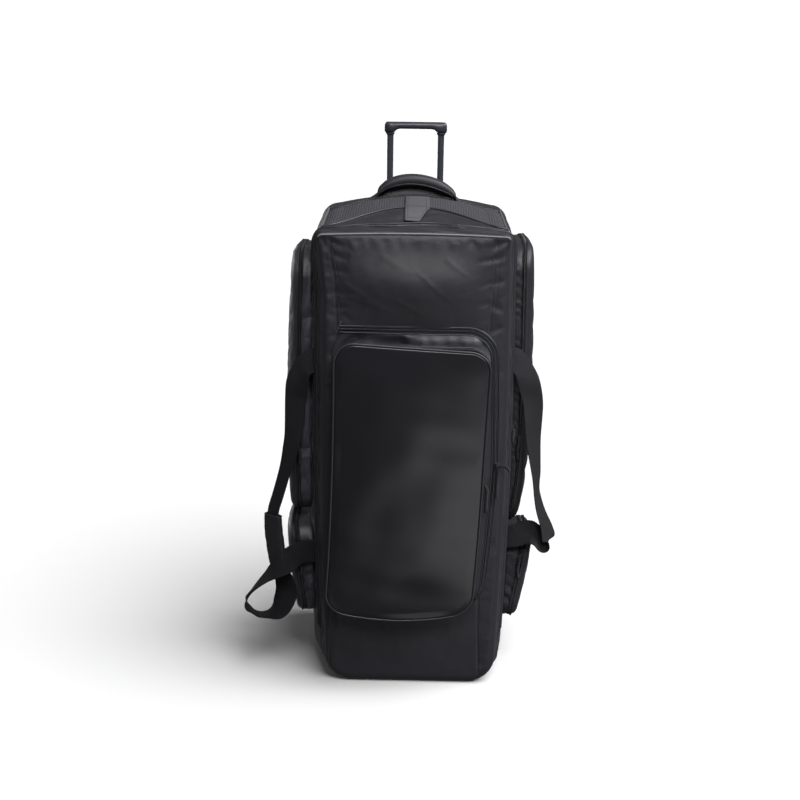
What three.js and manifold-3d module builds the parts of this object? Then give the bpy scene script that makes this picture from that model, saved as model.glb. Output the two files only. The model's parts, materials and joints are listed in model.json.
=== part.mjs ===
// Wheeled coffin bag standing on its end, in millimetres, +Z up.
// The lid faces -Y, and the origin is on the floor under the middle of the base.
import * as THREE from "three";
import { mergeVertices } from "three/addons/utils/BufferGeometryUtils.js";
import Module from "manifold-3d";

const wasm = await Module();
wasm.setup();

// Driving dimensions
const GAP = 0.3;
const SEAM = 0.8;
const BODY_WALL = 2.6;
const POCKET_WALL = 2.0;
const BACK_WALL = 4.0;
const LID_EDGE_Y = -152;
const ZIP_FRONT_Y = -117;
const ZIP_REAR_Y = -105;
const SLOPE_START_Y = 36;
const BACK_EDGE_Y = 150;
const RIM_RADIUS = 18;
const SEAT = 0.7;
const LID_SWELL = { height: 9, z: 872, spread: 46, halfX: 138 };
const SIDE_BELLY = 7;
const PIPING_RADIUS = 2.2;
const ZIP_WIDTH = 9;
const ZIP_THICKNESS = 1.6;
const MAIN_ZIP_THICKNESS = 1.8;
const STRAP_WIDTH = 50;
const STRAP_THICKNESS = 2.2;

// Stations of the bag from lid to back: width, crown and shoulder heights, and corner radii
const STATIONS = [
  { y: -152, halfWidth: 186, crown: 960, shoulder: 956, topRadius: 26, footRadius: 58 },
  { y: -117, halfWidth: 195, crown: 966, shoulder: 960, topRadius: 28, footRadius: 56 },
  { y: -105, halfWidth: 198, crown: 968, shoulder: 961, topRadius: 30, footRadius: 56 },
  { y: -50, halfWidth: 205, crown: 980, shoulder: 965, topRadius: 36, footRadius: 52 },
  { y: 36, halfWidth: 207, crown: 991, shoulder: 974, topRadius: 44, footRadius: 42 },
  { y: 100, halfWidth: 204, crown: 996, shoulder: 976, topRadius: 44, footRadius: 36 },
  { y: 150, halfWidth: 199, crown: 991, shoulder: 972, topRadius: 38, footRadius: 34 },
];

// Places along the outline of a station, counted anticlockwise from the middle of the foot
const LOOP_LENGTH = 10;
const TRAY_TOP = 2.05;
const TRAY_GAP = 0.001;
const SHOULDER_SEAM = 3.62;
const SHOULDER_GAP = 0.017;

// Front pockets on the lid: middle, half sizes, corner radius, depth and swell of the face
const LARGE_POCKET = { x: 6, z: 480, halfX: 164, halfZ: 301, corner: 46, depth: 22, rim: 8, swell: 0 };
const FRONT_POCKET = { x: -1, z: 462, halfX: 147, halfZ: 283, corner: 38, depth: 34, rim: 7, swell: 9 };
const FRONT_POCKET_SAG = 5;
const FRONT_POCKET_LEAN = 19;
const FRONT_POCKET_BOW = 20;
const LARGE_ZIP_HEIGHT = 8;
const FRONT_ZIP_HEIGHT = 15;

// Side pockets, one row each: side, middle, half sizes, corner radius and height of the zip pull
const SIDE_POCKETS = [
  { name: "upper_left", side: -1, y: 27, z: 622, halfY: 98, halfZ: 280, corner: 52, pullZ: 500 },
  { name: "upper_right", side: 1, y: 27, z: 632, halfY: 98, halfZ: 289, corner: 52, pullZ: 520 },
  { name: "lower_left", side: -1, y: 12, z: 212, halfY: 88, halfZ: 104, corner: 38, pullZ: 250 },
  { name: "lower_right", side: 1, y: 12, z: 196, halfY: 88, halfZ: 92, corner: 38, pullZ: 254 },
];
// Depth of each side pocket at its foot and head, rim radius, swell of its face and count of gathers
const SIDE_DEPTHS = {
  upper_left: { foot: 44, head: 38, rim: 13, swell: 14, gathers: 7 },
  upper_right: { foot: 32, head: 34, rim: 13, swell: 12, gathers: 7 },
  lower_left: { foot: 34, head: 50, rim: 12, swell: 7, gathers: 3 },
  lower_right: { foot: 28, head: 54, rim: 12, swell: 6, gathers: 3 },
};
const GATHER_HEIGHT = 2.6;
const GATHER_LEVEL = 0.35;
const ZIP_LEVEL = 0.65;
const SIDE_ZIP_LEVEL = 0.82;

// Trolley
const POLE_X = 53;
const POLE_Y = 128;
const POLE_WIDTH = 13;
const POLE_DEPTH = 16;
const POLE_LENGTH = 600;
const POLE_CORNER = 4;
const POLE_CLEARANCE = 0.4;
const GUIDE_WALL = 1.5;
const GUIDE_STANDOFF = 3.9;
const GRIP_BOTTOM = 1123;
const GRIP_HEIGHT = 22;
const GRIP_WIDTH = 130;
const GRIP_DEPTH = 26;

// Wheels
const WHEEL_X = 146;
const WHEEL_Y = 133;
const WHEEL_Z = 36;
const WHEEL_RADIUS = 35.6;
const WHEEL_WIDTH = 24;
const AXLE_RADIUS = 4;
const AXLE_CLEARANCE = 0.25;
const AXLE_END = 2;
const HUB_RADIUS = 12;
const HUB_CLEARANCE = 0.6;
const HUB_PROUD = 2;
const EAR_THICKNESS = 4;
const EAR_FOOT = 29;
const EAR_TIP = 11;
const EAR_CLEARANCE = 0.5;
const BRACKET_PLATE = 3;
const BRACKET_LENGTH = 62;

const ALONG_X = 0;
const ALONG_Y = 1;
const ALONG_Z = 2;
const vec = (x, y, z) => new THREE.Vector3(x, y, z);
const lerp = THREE.MathUtils.lerp;
const clamp = THREE.MathUtils.clamp;
const steps = (count) => Array.from({ length: count + 1 }, (_, i) => i / count);
const spread = (from, to, count) => steps(count).map((t) => lerp(from, to, t));

// Materials
function finish(colour, roughness, metalness = 0) {
  return () => new THREE.MeshStandardMaterial({ color: colour, roughness, metalness });
}
const POLYESTER = finish(0x17181a, 0.85);
const MESH_FABRIC = finish(0x0c0d0e, 0.95);
const VINYL = finish(0x0a0b0d, 0.25);
const PIPING = finish(0x303236, 0.6);
const WEBBING = finish(0x1c1d20, 0.9);
const TAB_WEBBING = finish(0x4a4c50, 0.9);
const ZIP_TAPE = finish(0x101113, 0.8);
const PLASTIC = finish(0x111316, 0.5);
const RUBBER = finish(0x0e0e0e, 0.9);
const POLE_METAL = finish(0x2a3038, 0.4, 0.6);
const STEEL = finish(0x9a9c9f, 0.35, 0.9);

const group = new THREE.Group();
function add(name, geometry, material) {
  const mesh = new THREE.Mesh(geometry, material());
  mesh.name = name;
  group.add(mesh);
}

function meshFrom(points, triangles) {
  const geometry = new THREE.BufferGeometry();
  const flat = points.flatMap((p) => [p.x, p.y, p.z]);
  geometry.setAttribute("position", new THREE.Float32BufferAttribute(flat, 3));
  geometry.setIndex(triangles);
  return geometry;
}

// A wall of even thickness behind a grid of points on its outer face.
// A last row of one point closes the grid, and wrapped grids join their last column to the first.
// The first and last rows are cut square to the named axis, so that walls meet along a seam.
function wall(grid, thickness, square, wrapped = false) {
  const rows = grid.length;
  const points = [];
  const first = [];
  for (const row of grid) {
    first.push(points.length);
    points.push(...row);
  }
  const size = points.length;
  const at = (i, j) => first[i] + (grid[i].length === 1 ? 0 : j % grid[i].length);
  const columns = grid[0].length;
  const normals = points.map(() => vec(0, 0, 0));
  const outer = [];
  const face = (a, b, c) => {
    if (a === b || b === c || a === c) return;
    outer.push([a, b, c]);
    const ab = points[b].clone().sub(points[a]);
    const ac = points[c].clone().sub(points[a]);
    const normal = ab.cross(ac);
    for (const k of [a, b, c]) normals[k].add(normal);
  };
  const spans = wrapped ? columns : columns - 1;
  for (let i = 0; i < rows - 1; i += 1) {
    for (let j = 0; j < spans; j += 1) {
      face(at(i, j), at(i, j + 1), at(i + 1, j + 1));
      face(at(i, j), at(i + 1, j + 1), at(i + 1, j));
    }
  }
  for (const i of [0, rows - 1]) {
    if (grid[i].length > 1) grid[i].forEach((_, j) => normals[at(i, j)].setComponent(square, 0));
  }
  const inner = points.map((p, k) => p.clone().addScaledVector(normals[k].normalize(), -thickness));
  const triangles = [];
  const edges = new Map();
  for (const [a, b, c] of outer) {
    triangles.push(a, b, c, a + size, c + size, b + size);
    for (const [p, q] of [[a, b], [b, c], [c, a]]) {
      const twin = `${q},${p}`;
      if (edges.has(twin)) edges.delete(twin);
      else edges.set(`${p},${q}`, [p, q]);
    }
  }
  for (const [p, q] of edges.values()) {
    triangles.push(q, p, q + size, p, p + size, q + size);
  }
  return meshFrom([...points, ...inner], triangles);
}

// A solid through a row of closed rings, with flat ends unless the row closes on itself
function loft(rings, closed = false) {
  const count = rings[0].length;
  const points = rings.flat();
  const triangles = [];
  for (let i = 0; i < rings.length - (closed ? 0 : 1); i += 1) {
    for (let j = 0; j < count; j += 1) {
      const near = (i % rings.length) * count;
      const far = ((i + 1) % rings.length) * count;
      const next = (j + 1) % count;
      triangles.push(near + j, near + next, far + next, near + j, far + next, far + j);
    }
  }
  if (closed) return meshFrom(points, triangles);
  const last = (rings.length - 1) * count;
  for (let j = 1; j < count - 1; j += 1) {
    triangles.push(0, j + 1, j, last, last + j, last + j + 1);
  }
  return meshFrom(points, triangles);
}

// Smooth value of one named column of a table at a place along it
function smooth(table, column, place) {
  const whole = clamp(Math.floor(place), 0, table.length - 2);
  const t = place - whole;
  const read = (i) => table[clamp(i, 0, table.length - 1)][column];
  const [a, b, c, d] = [read(whole - 1), read(whole), read(whole + 1), read(whole + 2)];
  const bend = 2 * a - 5 * b + 4 * c - d;
  const turn = 3 * b - a - 3 * c + d;
  return b + 0.5 * t * (c - a + t * (bend + t * turn));
}

// Middle and directions of a strap at a place along its table
const NUDGE = 0.02;
function strapFrame(rows, place) {
  const last = rows.length - 1;
  const middle = (s) => vec(smooth(rows, "x", s), smooth(rows, "y", s), smooth(rows, "z", s));
  const behind = middle(Math.max(place - NUDGE, 0));
  const ahead = middle(Math.min(place + NUDGE, last)).sub(behind).normalize();
  const across = vec(smooth(rows, "wx", place), smooth(rows, "wy", place), smooth(rows, "wz", place));
  across.addScaledVector(ahead, -across.dot(ahead)).normalize();
  const up = ahead.clone().cross(across);
  const at = (a, b) => middle(place).addScaledVector(across, a).addScaledVector(up, b);
  return { at, half: smooth(rows, "width", place) / 2 };
}

// A flat strap through the rows of a table: middle, width direction and width
function strap(rows, thickness, perRow) {
  const last = rows.length - 1;
  const deep = thickness / 2;
  return loft(spread(0, last, last * perRow).map((place) => {
    const { at, half } = strapFrame(rows, place);
    return [at(-half, -deep), at(half, -deep), at(half, deep), at(-half, deep)];
  }));
}

function tube(points, radius, stepsAlong) {
  const circle = new THREE.Shape();
  circle.absarc(0, 0, radius, 0, Math.PI * 2, false);
  const path = new THREE.CatmullRomCurve3(points);
  const options = { steps: stepsAlong, extrudePath: path, bevelEnabled: false, curveSegments: 3 };
  return new THREE.ExtrudeGeometry(circle, options);
}

// A closed hoop of round section through points that lie in about one XZ plane
function hoop(points, radius) {
  const count = points.length;
  const rings = points.map((point, i) => {
    const ahead = points[(i + 1) % count].clone().sub(points[(i + count - 1) % count]).normalize();
    const out = vec(0, 1, 0).cross(ahead);
    return spread(0, 2 * Math.PI, 5).slice(1).map((turn) => {
      const lift = vec(0, radius * Math.sin(turn), 0);
      return point.clone().addScaledVector(out, radius * Math.cos(turn)).add(lift);
    });
  });
  return loft(rings, true);
}

function solid(geometry) {
  const bare = geometry.clone();
  bare.deleteAttribute("normal");
  bare.deleteAttribute("uv");
  const merged = mergeVertices(bare, 1e-4);
  const vertProperties = new Float32Array(merged.attributes.position.array);
  const triVerts = new Uint32Array(merged.index.array);
  return new wasm.Manifold(new wasm.Mesh({ numProp: 3, vertProperties, triVerts }));
}

function fromSolid(body) {
  const mesh = body.getMesh();
  const points = [];
  for (let i = 0; i < mesh.vertProperties.length; i += mesh.numProp) {
    points.push(vec(mesh.vertProperties[i], mesh.vertProperties[i + 1], mesh.vertProperties[i + 2]));
  }
  return meshFrom(points, Array.from(mesh.triVerts));
}

function box(width, depth, height, x, y, z) {
  return new THREE.BoxGeometry(width, depth, height).translate(x, y, z);
}

// Sizes of the bag at one place between lid and back
function station(y) {
  const last = STATIONS.length - 2;
  const found = STATIONS.findIndex((row, i) => i <= last && y <= STATIONS[i + 1].y);
  const i = found < 0 ? last : found;
  const place = i + (y - STATIONS[i].y) / (STATIONS[i + 1].y - STATIONS[i].y);
  const read = (column) => smooth(STATIONS, column, place);
  return {
    halfWidth: read("halfWidth"),
    crown: read("crown"),
    shoulder: read("shoulder"),
    topRadius: read("topRadius"),
    footRadius: read("footRadius"),
    foot: Math.max(0, y - SLOPE_START_Y),
  };
}

// Right half of an outline drawn in by an inset, from mid-foot up to mid-crown
function halfOutline(size, inset, place) {
  const halfWidth = size.halfWidth - inset;
  const foot = size.foot + inset;
  const shoulder = size.shoulder - inset;
  const footRadius = size.footRadius - inset;
  const topRadius = size.topRadius - inset;
  const part = Math.min(Math.floor(place), 4);
  const t = place - part;
  const turn = (t * Math.PI) / 2;
  if (part === 0) return [t * (halfWidth - footRadius), foot];
  if (part === 1) {
    return [halfWidth - footRadius * (1 - Math.sin(turn)), foot + footRadius * (1 - Math.cos(turn))];
  }
  if (part === 2) {
    const belly = SIDE_BELLY * Math.sin(Math.PI * t);
    return [halfWidth + belly, lerp(foot + footRadius, shoulder - topRadius, t)];
  }
  if (part === 3) {
    return [halfWidth - topRadius * (1 - Math.cos(turn)), shoulder - topRadius * (1 - Math.sin(turn))];
  }
  const rise = size.crown - size.shoulder;
  return [(1 - t) * (halfWidth - topRadius), shoulder + rise * (1 - (1 - t) ** 2)];
}

function outline(y, place, inset = 0) {
  const size = station(y);
  const around = ((place % LOOP_LENGTH) + LOOP_LENGTH) % LOOP_LENGTH;
  const left = around > LOOP_LENGTH / 2;
  const [x, z] = halfOutline(size, inset, left ? LOOP_LENGTH - around : around);
  return vec(left ? -x : x, y, z);
}

// A point of the bag's skin, lifted off it by an offset
function skin(y, place, lift = 0) {
  return outline(y, place, -lift);
}

// Places round the whole outline, closer together on the corners
function loopPlaces(perPart) {
  const half = perPart.flatMap((count, part) => Array.from({ length: count }, (_, i) => part + i / count));
  const back = half.map((place) => LOOP_LENGTH - place).filter((place) => place < LOOP_LENGTH).reverse();
  return [...half, LOOP_LENGTH / 2, ...back];
}

// A panel of the bag's skin between two curves of depth and two places of the outline
function panel(places, frontY, rearY, rowsAcross, thickness, lift = 0) {
  const grid = steps(rowsAcross).map((t) =>
    places.map((place) => skin(lerp(frontY(place), rearY(place), t), place, lift)));
  return wall(grid.reverse(), thickness, ALONG_Y);
}

const turned = (rings) => rings.map((row) => [...row].reverse());
const even = (value) => () => value;

// Place on the arch of the top end that is a distance to the right of the middle
function archPlace(y, x) {
  const size = station(y);
  return LOOP_LENGTH / 2 - x / (size.halfWidth - size.topRadius);
}

// Body panels behind the main zip
const panelFront = even(ZIP_REAR_Y + SEAM / 2);
const panelRear = even(BACK_EDGE_Y - SEAM / 2);
const shoulderPlaces = spread(3, SHOULDER_SEAM - SHOULDER_GAP, 2);
const sidePlaces = [...spread(TRAY_TOP, 3, 8), ...shoulderPlaces.slice(1)];
const leftPlaces = sidePlaces.map((place) => LOOP_LENGTH - place).reverse();
add("side_panel_right", panel(sidePlaces, panelFront, panelRear, 6, BODY_WALL), POLYESTER);
add("side_panel_left", panel(leftPlaces, panelFront, panelRear, 6, BODY_WALL), POLYESTER);

const trayHalf = [0, 1, 1.33, 1.67, 2, TRAY_TOP - TRAY_GAP];
const trayLeft = trayHalf.slice(1).map((place) => -place).reverse();
const trayPlaces = [...trayLeft, ...trayHalf];
const trayFront = even(ZIP_FRONT_Y + SEAM / 2);
add("bottom_panel", panel(trayPlaces, trayFront, even(SLOPE_START_Y - SEAM), 2, BODY_WALL), POLYESTER);
add("wheel_base", panel(trayPlaces, even(SLOPE_START_Y), panelRear, 2, BODY_WALL), PLASTIC);

// Top end: a fabric panel, a crescent of mesh and a rear panel between the shoulder seams
const topPlaces = [
  ...spread(SHOULDER_SEAM + SHOULDER_GAP, 4, 2),
  ...spread(4, 6, 10).slice(1),
  ...spread(6, LOOP_LENGTH - SHOULDER_SEAM - SHOULDER_GAP, 2).slice(1),
];
const arch = (place, side, middle) => {
  const t = clamp(Math.abs(place - LOOP_LENGTH / 2), 0, 1);
  return lerp(middle, side, t ** 2);
};
const MESH_FRONT_SIDE = -88;
const MESH_FRONT_MIDDLE = -8;
const MESH_REAR_SIDE = 40;
const MESH_REAR_MIDDLE = 84;
const meshFront = (shift) => (place) => arch(place, MESH_FRONT_SIDE, MESH_FRONT_MIDDLE) + shift;
const meshRear = (shift) => (place) => arch(place, MESH_REAR_SIDE, MESH_REAR_MIDDLE) + shift;
add("top_front_panel", panel(topPlaces, panelFront, meshFront(-SEAM / 2), 2, BODY_WALL), POLYESTER);
add("mesh_panel", panel(topPlaces, meshFront(SEAM / 2), meshRear(-SEAM / 2), 3, BODY_WALL), MESH_FABRIC);

const HOLE_HEIGHT = 200;
const HOLE_Z = 980;
const poleHole = (side, extra) => {
  const width = POLE_WIDTH + extra;
  const depth = POLE_DEPTH + extra;
  return solid(box(width, depth, HOLE_HEIGHT, side * POLE_X, POLE_Y, HOLE_Z));
};
const withPoleHoles = (geometry, extra) =>
  fromSolid(solid(geometry).subtract(poleHole(-1, extra)).subtract(poleHole(1, extra)));
const rearTop = panel(topPlaces, meshRear(SEAM / 2), panelRear, 2, BODY_WALL);
const FABRIC_HOLE_EXTRA = 2;
add("top_rear_panel", withPoleHoles(rearTop, FABRIC_HOLE_EXTRA), POLYESTER);

// Lid: a band behind the rim, and the front face with its rounded rim
const lidPlaces = loopPlaces([2, 3, 5, 2, 3]);
const lidBand = spread(LID_EDGE_Y + SEAM / 2, ZIP_FRONT_Y - SEAM / 2, 1);
const ring = (y, inset) => lidPlaces.map((place) => outline(y, place, inset));
add("lid_gusset", wall(lidBand.map((y) => ring(y, 0)).reverse(), BODY_WALL, ALONG_Y, true), POLYESTER);

// Depth of the lid's face at a point: it swells above the pockets
function lidFace(x, z) {
  const across = clamp(1 - (x / LID_SWELL.halfX) ** 2, 0, 1);
  const up = Math.exp(-(((z - LID_SWELL.z) / LID_SWELL.spread) ** 2));
  return LID_EDGE_Y - RIM_RADIUS - LID_SWELL.height * across * up;
}

// Rings of a closed end: a rounded rim, then the face drawn in to its middle
function endFace(places, edgeY, outward, faceY, scales) {
  const rim = [0, 0.5, 1].map((t) => (t * Math.PI) / 2);
  const rings = rim.map((turn) => places.map((place) => {
    const point = outline(edgeY, place, RIM_RADIUS * (1 - Math.cos(turn)));
    return point.setY(edgeY + outward * RIM_RADIUS * Math.sin(turn));
  }));
  const size = station(edgeY);
  const middle = vec(0, edgeY + outward * RIM_RADIUS, (size.crown + size.foot) / 2);
  const edge = rings[rings.length - 1];
  for (const scale of scales) {
    rings.push(edge.map((point) => {
      const drawn = middle.clone().lerp(point, scale);
      return drawn.setY(faceY(drawn.x, drawn.z));
    }));
  }
  rings.push([middle.setY(faceY(middle.x, middle.z))]);
  return rings;
}
const lidRings = endFace(lidPlaces, LID_EDGE_Y, -1, lidFace, [0.93, 0.83, 0.66]);
add("lid_panel", wall(lidRings, BODY_WALL, ALONG_Y, true), POLYESTER);

const backPlaces = loopPlaces([2, 2, 4, 2, 2]);
const backRings = endFace(backPlaces, BACK_EDGE_Y, 1, even(BACK_EDGE_Y + RIM_RADIUS), []);
add("back_panel", wall(turned(backRings), BACK_WALL, ALONG_Y, true), POLYESTER);

// Main zip: one long strip over the top and down both sides
const zipPlaces = [
  ...spread(TRAY_TOP, 3, 8),
  ...spread(3, 4, 3).slice(1),
  ...spread(4, 6, 8).slice(1),
  ...spread(6, 7, 3).slice(1),
  ...spread(7, LOOP_LENGTH - TRAY_TOP, 8).slice(1),
];
const zipRear = even(ZIP_REAR_Y - SEAM / 2);
add("main_zip", panel(zipPlaces, trayFront, zipRear, 1, MAIN_ZIP_THICKNESS), ZIP_TAPE);

// Places round a rounded rectangle drawn in by an inset, anticlockwise from the right side
function roundedRect(shape, inset, counts) {
  const { right, left, across, round } = counts;
  const corner = shape.corner - inset;
  const straightA = shape.halfA - inset - corner;
  const straightB = shape.halfB - inset - corner;
  const points = [];
  const line = (fromA, fromB, toA, toB, count) => {
    for (let i = 0; i < count; i += 1) {
      const t = i / count;
      points.push([lerp(fromA, toA, t), lerp(fromB, toB, t)]);
    }
  };
  const bend = (a, b, start) => {
    for (let i = 0; i < round; i += 1) {
      const turn = start + (i / round) * (Math.PI / 2);
      points.push([a + corner * Math.cos(turn), b + corner * Math.sin(turn)]);
    }
  };
  line(straightA + corner, -straightB, straightA + corner, straightB, right);
  bend(straightA, straightB, 0);
  line(straightA, straightB + corner, -straightA, straightB + corner, across);
  bend(-straightA, straightB, Math.PI / 2);
  line(-straightA - corner, straightB, -straightA - corner, -straightB, left);
  bend(-straightA, -straightB, Math.PI);
  line(-straightA, -straightB - corner, straightA, -straightB - corner, across);
  bend(straightA, -straightB, Math.PI * 1.5);
  return points;
}

// Rings of a pocket from its base up its side, round its rim and over its face.
// The place function turns (a, b, height) of the pocket into a point of the bag.
function pocketRings(shape, counts, place, sideLevels, faceScales) {
  const rings = [];
  const drawn = (inset) => roundedRect(shape, inset, counts);
  for (const level of sideLevels) {
    rings.push(drawn(0).map(([a, b]) => place(a, b, level * (shape.depth(b) - shape.rim), level)));
  }
  for (const t of [0.5, 1]) {
    const turn = (t * Math.PI) / 2;
    const inset = shape.rim * (1 - Math.cos(turn));
    const up = shape.rim * (1 - Math.sin(turn));
    rings.push(drawn(inset).map(([a, b]) => place(a, b, shape.depth(b) - up, 1)));
  }
  const edge = drawn(shape.rim);
  const face = (scale) => edge.map(([a, b]) =>
    place(a * scale, b * scale, shape.depth(b * scale) + shape.swell * (1 - scale ** 2), 1));
  for (const scale of faceScales) rings.push(face(scale));
  rings.push([place(0, 0, shape.depth(0) + shape.swell, 1)]);
  return rings;
}

// Large front pocket, sewn to the lid
const largeShape = {
  halfA: LARGE_POCKET.halfX,
  halfB: LARGE_POCKET.halfZ,
  corner: LARGE_POCKET.corner,
  rim: LARGE_POCKET.rim,
  swell: LARGE_POCKET.swell,
  depth: even(LARGE_POCKET.depth),
};
const onLid = (a, b, height) => {
  const x = LARGE_POCKET.x + a;
  const z = LARGE_POCKET.z + b;
  return vec(x, lidFace(x, z) - SEAT - height, z);
};
const FRONT_COUNTS = { right: 5, left: 5, across: 4, round: 3 };
const largeRings = pocketRings(largeShape, FRONT_COUNTS, onLid, [0, 1], []);
add("pocket_large", wall(largeRings, POCKET_WALL, ALONG_Y, true), POLYESTER);

// Front pocket: a gusset and a gloss face, leaning to one side and bowed along its foot
const frontShape = {
  halfA: FRONT_POCKET.halfX,
  halfB: FRONT_POCKET.halfZ,
  corner: FRONT_POCKET.corner,
  rim: FRONT_POCKET.rim,
  swell: FRONT_POCKET.swell,
  depth: (b) => FRONT_POCKET.depth + FRONT_POCKET_SAG * clamp(-b / FRONT_POCKET.halfZ, 0, 1),
};
const LARGE_FACE_Y = LID_EDGE_Y - RIM_RADIUS - SEAT - LARGE_POCKET.depth;
const onLargePocket = (a, b, height) => {
  const fall = clamp((FRONT_POCKET.halfZ - b) / (2 * FRONT_POCKET.halfZ), 0, 1);
  const low = clamp(-b / FRONT_POCKET.halfZ, 0, 1);
  const x = FRONT_POCKET.x + a - FRONT_POCKET_LEAN * fall ** 2;
  const bow = FRONT_POCKET_BOW * low ** 2 * (a / FRONT_POCKET.halfX) ** 2;
  const z = FRONT_POCKET.z + b + bow;
  return vec(x, LARGE_FACE_Y - SEAT - height, z);
};
const frontRings = pocketRings(frontShape, FRONT_COUNTS, onLargePocket, [0, 1], [0.75, 0.4]);
const GUSSET_RINGS = 2;
add("pocket_front", wall(frontRings.slice(0, GUSSET_RINGS), POCKET_WALL, ALONG_Y, true), POLYESTER);
const faceEdge = frontRings[GUSSET_RINGS - 1].map((point) => point.clone().setY(point.y - GAP));
const faceRings = [faceEdge, ...frontRings.slice(GUSSET_RINGS)];
add("pocket_front_face", wall(faceRings, POCKET_WALL, ALONG_Y, true), VINYL);

// Side of the bag at a height and depth
function sideFace(y, z) {
  const size = station(y);
  const low = size.foot + size.footRadius;
  const high = size.shoulder - size.topRadius;
  const t = clamp((z - low) / (high - low), 0, 1);
  return size.halfWidth + SIDE_BELLY * Math.sin(Math.PI * t);
}

// Side pockets: gathers run along the front of each gusset
function sidePocket(row) {
  const { foot, head, rim, swell, gathers } = SIDE_DEPTHS[row.name];
  const shape = {
    halfA: row.halfY,
    halfB: row.halfZ,
    corner: row.corner,
    rim,
    swell,
    depth: (b) => lerp(foot, head, clamp((b + row.halfZ) / (2 * row.halfZ), 0, 1)),
  };
  const straight = row.halfZ - row.corner;
  const place = (a, b, height, level) => {
    const gathered = level === GATHER_LEVEL && a <= GAP - row.halfY;
    const wave = gathered ? GATHER_HEIGHT * Math.cos((b / straight) * Math.PI * gathers) : 0;
    const y = row.y + a + wave;
    const z = row.z + b;
    return vec(row.side * (sideFace(y, z) + SEAT + height), y, z);
  };
  const counts = { right: 3, left: 2 * gathers, across: 2, round: 2 };
  return { shape, place, counts };
}

for (const row of SIDE_POCKETS) {
  const { shape, place, counts } = sidePocket(row);
  const rings = pocketRings(shape, counts, place, [0, GATHER_LEVEL, ZIP_LEVEL, 1], [0.6]);
  const rows = row.side < 0 ? turned(rings) : rings;
  add(`side_pocket_${row.name}`, wall(rows, POCKET_WALL, ALONG_X, true), POLYESTER);
}

// Poles slide in guides, and the grip joins their tops
function pipe(width, depth, hole, length, x, z) {
  const shape = new THREE.Shape();
  const trace = (path, halfX, halfY, corner) => {
    path.moveTo(-halfX + corner, -halfY);
    path.lineTo(halfX - corner, -halfY);
    path.absarc(halfX - corner, -halfY + corner, corner, -Math.PI / 2, 0, false);
    path.lineTo(halfX, halfY - corner);
    path.absarc(halfX - corner, halfY - corner, corner, 0, Math.PI / 2, false);
    path.lineTo(-halfX + corner, halfY);
    path.absarc(-halfX + corner, halfY - corner, corner, Math.PI / 2, Math.PI, false);
    path.lineTo(-halfX, -halfY + corner);
    path.absarc(-halfX + corner, -halfY + corner, corner, Math.PI, Math.PI * 1.5, false);
    return path;
  };
  trace(shape, width / 2, depth / 2, POLE_CORNER);
  if (hole > 0) {
    const inside = trace(new THREE.Path(), width / 2 - hole, depth / 2 - hole, POLE_CORNER - hole / 2);
    shape.holes.push(inside);
  }
  const options = { depth: length, bevelEnabled: false, curveSegments: 2 };
  return new THREE.ExtrudeGeometry(shape, options).translate(x, POLE_Y, z);
}

const GUIDE_WIDTH = POLE_WIDTH + 2 * (POLE_CLEARANCE + GUIDE_WALL);
const GUIDE_DEPTH = POLE_DEPTH + 2 * (POLE_CLEARANCE + GUIDE_WALL);
const GUIDE_BOTTOM = POLE_Y + GUIDE_DEPTH / 2 - SLOPE_START_Y + GUIDE_STANDOFF;
const guideRearY = POLE_Y + GUIDE_DEPTH / 2;
const guideCorner = skin(guideRearY, archPlace(guideRearY, POLE_X + GUIDE_WIDTH / 2));
const GUIDE_LENGTH = guideCorner.z - BODY_WALL - SEAT - GUIDE_BOTTOM;
const POLE_BOTTOM = GRIP_BOTTOM - GAP - POLE_LENGTH;
for (const side of [-1, 1]) {
  const end = side < 0 ? "left" : "right";
  const x = side * POLE_X;
  const pole = pipe(POLE_WIDTH, POLE_DEPTH, 0, POLE_LENGTH, x, POLE_BOTTOM);
  add(`trolley_pole_${end}`, pole, POLE_METAL);
  const guide = pipe(GUIDE_WIDTH, GUIDE_DEPTH, GUIDE_WALL, GUIDE_LENGTH, x, GUIDE_BOTTOM);
  add(`trolley_guide_${end}`, guide, POLE_METAL);
}

// Grip: right half of its outline from mid-underside to mid-top, as shares of half width and height
const GRIP_OUTLINE = [
  { out: 0, up: 0.27 },
  { out: 0.54, up: 0.27 },
  { out: 0.63, up: 0.21 },
  { out: 0.67, up: 0 },
  { out: 0.96, up: 0 },
  { out: 1, up: 0.3 },
  { out: 0.99, up: 0.62 },
  { out: 0.95, up: 0.86 },
  { out: 0.84, up: 1 },
  { out: 0, up: 1 },
];
const GRIP_BEVEL = 4;
const GRIP_ROUNDING = 3;
const gripPoint = ({ out, up }, side) =>
  new THREE.Vector2((side * out * GRIP_WIDTH) / 2, up * GRIP_HEIGHT);
const gripRight = GRIP_OUTLINE.map((row) => gripPoint(row, 1));
const gripLeft = GRIP_OUTLINE.slice(1, -1).map((row) => gripPoint(row, -1)).reverse();
const grip = new THREE.ExtrudeGeometry(new THREE.Shape([...gripRight, ...gripLeft]), {
  depth: GRIP_DEPTH - 2 * GRIP_BEVEL,
  bevelThickness: GRIP_BEVEL,
  bevelSize: GRIP_ROUNDING,
  bevelOffset: -GRIP_ROUNDING,
  bevelSegments: 1,
});
grip.rotateX(Math.PI / 2);
grip.translate(0, POLE_Y + GRIP_DEPTH / 2 - GRIP_BEVEL, GRIP_BOTTOM);
add("trolley_grip", grip, PLASTIC);

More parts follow.
